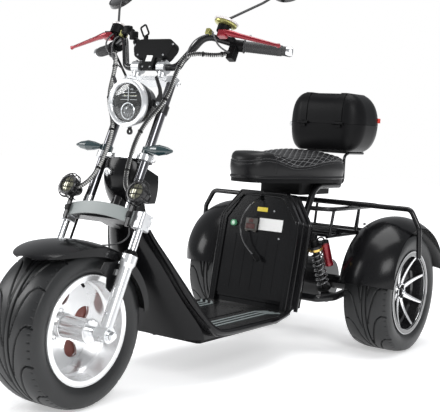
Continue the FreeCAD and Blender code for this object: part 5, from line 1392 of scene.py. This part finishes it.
def area_lamp(name, place, aim, size, power):
    """Square soft white lamp at a place, aimed at a point."""
    data = bpy.data.lights.new(name, "AREA")
    data.shape = "SQUARE"
    data.size = size
    data.energy = power
    lamp = bpy.data.objects.new(name, data)
    lamp.location = place
    lamp.rotation_mode = "QUATERNION"
    lamp.rotation_quaternion = (Vector(aim) - Vector(place)).to_track_quat("-Z", "Y")
    bpy.context.scene.collection.objects.link(lamp)


def studio_paper():
    """Matt paper whose own light grows with the distance from the middle, so that the floor ends in white."""
    made, tree, shader = plain("StudioPaper")
    away = add(tree, "VectorMath", {0: add(tree, "TexCoord", {}).outputs["Object"]}, operation="LENGTH")
    light = add(tree, "MapRange", {"Value": away.outputs["Value"], "From Min": 1.3, "From Max": 4.0,
                                   "To Min": 0.42, "To Max": 1.0})
    feed(tree, shader, {"Base Color": (0.93, 0.93, 0.935, 1.0), "Roughness": 0.9, "Specular IOR Level": 0.1,
                        "Emission Color": WHITE, "Emission Strength": light.outputs["Result"]})
    return made


def studio_world():
    """Soft light from all round, but plain white where a camera or glass ray looks past the object."""
    world = bpy.data.worlds.new("StudioWorld")
    world.use_nodes = True
    tree = world.node_tree
    soft = feed(tree, tree.nodes["Background"], {"Color": (0.95, 0.97, 1.0, 1.0), "Strength": 0.42})
    path = add(tree, "LightPath", {}).outputs
    seen = compute(tree, "MAXIMUM", path["Is Camera Ray"], path["Is Transmission Ray"])
    white = add(tree, "Background", {"Color": WHITE, "Strength": 1.0})
    mix = add(tree, "MixShader", {"Fac": seen, 1: soft.outputs["Background"], 2: white.outputs["Background"]})
    feed(tree, tree.nodes["World Output"], {"Surface": mix.outputs["Shader"]})
    return world


class TrikeStage(bpy.types.Operator):
    """Floor, soft lamps, white surroundings and the camera"""

    bl_idname = "trike.stage"
    bl_label = "Stage"

    def execute(self, context):
        scene = context.scene
        scene.view_settings.view_transform = "Standard"
        floor_mesh = bpy.data.meshes.new("studio_floor")
        corners = [(x * FLOOR_REACH, y * FLOOR_REACH, 0) for x, y in ((-1, -1), (1, -1), (1, 1), (-1, 1))]
        floor_mesh.from_pydata(corners, [], [(0, 1, 2, 3)])
        floor_mesh.materials.append(studio_paper())
        floor = bpy.data.objects.new("studio_floor", floor_mesh)
        scene.collection.objects.link(floor)
        scene.world = studio_world()
        area_lamp("key_lamp", (3.4, -2.6, 2.8), (0.0, 0.0, 0.5), 1.8, 90.0)
        area_lamp("side_lamp", (-3.2, -2.6, 2.4), (0.0, 0.0, 0.5), 1.8, 70.0)
        area_lamp("top_lamp", (0.2, 0.4, 3.8), (0.0, 0.0, 0.4), 2.6, 90.0)
        camera_data = bpy.data.cameras.new("studio_camera")
        camera_data.sensor_width = 36.0
        camera_data.lens = CAMERA_LENS
        camera = bpy.data.objects.new("studio_camera", camera_data)
        forward = (CAMERA_AIM - CAMERA_PLACE).normalized()
        right = forward.cross(Vector((0, 0, 1))).normalized()
        above = right.cross(forward)
        rolled_right = right * math.cos(CAMERA_ROLL) + above * math.sin(CAMERA_ROLL)
        rolled_above = above * math.cos(CAMERA_ROLL) - right * math.sin(CAMERA_ROLL)
        turn = Matrix((rolled_right, rolled_above, -forward)).transposed()
        camera.matrix_world = Matrix.Translation(CAMERA_PLACE) @ turn.to_4x4()
        scene.collection.objects.link(camera)
        scene.camera = camera
        return {"FINISHED"}


STEPS = [TrikeStage, TrikeLead, TrikeFinishes, TrikeTyres, TrikeFrontWheel, TrikeRearWheels, TrikeSeat,
         TrikeHeadlight, TrikeSpotlights, TrikeCockpit, TrikeCables, TrikeBattery, TrikeShocks, TrikeFasteners,
         TrikeBody]


class TrikePanel(bpy.types.Panel):
    """Lists the trike's dressing steps in the sidebar"""

    bl_idname = "VIEW3D_PT_trike"
    bl_label = "Trike"
    bl_space_type = "VIEW_3D"
    bl_region_type = "UI"
    bl_category = "Trike"

    def draw(self, context):
        look = context.scene.trike_look
        for label in TrikeLook.__annotations__:
            self.layout.prop(look, label)
        for step in STEPS:
            self.layout.operator(step.bl_idname)


def register():
    bpy.utils.register_class(TrikeLook)
    bpy.types.Scene.trike_look = PointerProperty(type=TrikeLook)
    for step in STEPS:
        bpy.utils.register_class(step)
    bpy.utils.register_class(TrikePanel)


def unregister():
    bpy.utils.unregister_class(TrikePanel)
    for step in reversed(STEPS):
        bpy.utils.unregister_class(step)
    del bpy.types.Scene.trike_look
    bpy.utils.unregister_class(TrikeLook)


def main():
    register()
    for step in STEPS:
        group, call = step.bl_idname.split(".")
        getattr(getattr(bpy.ops, group), call)()


if __name__ == "__main__":
    main()
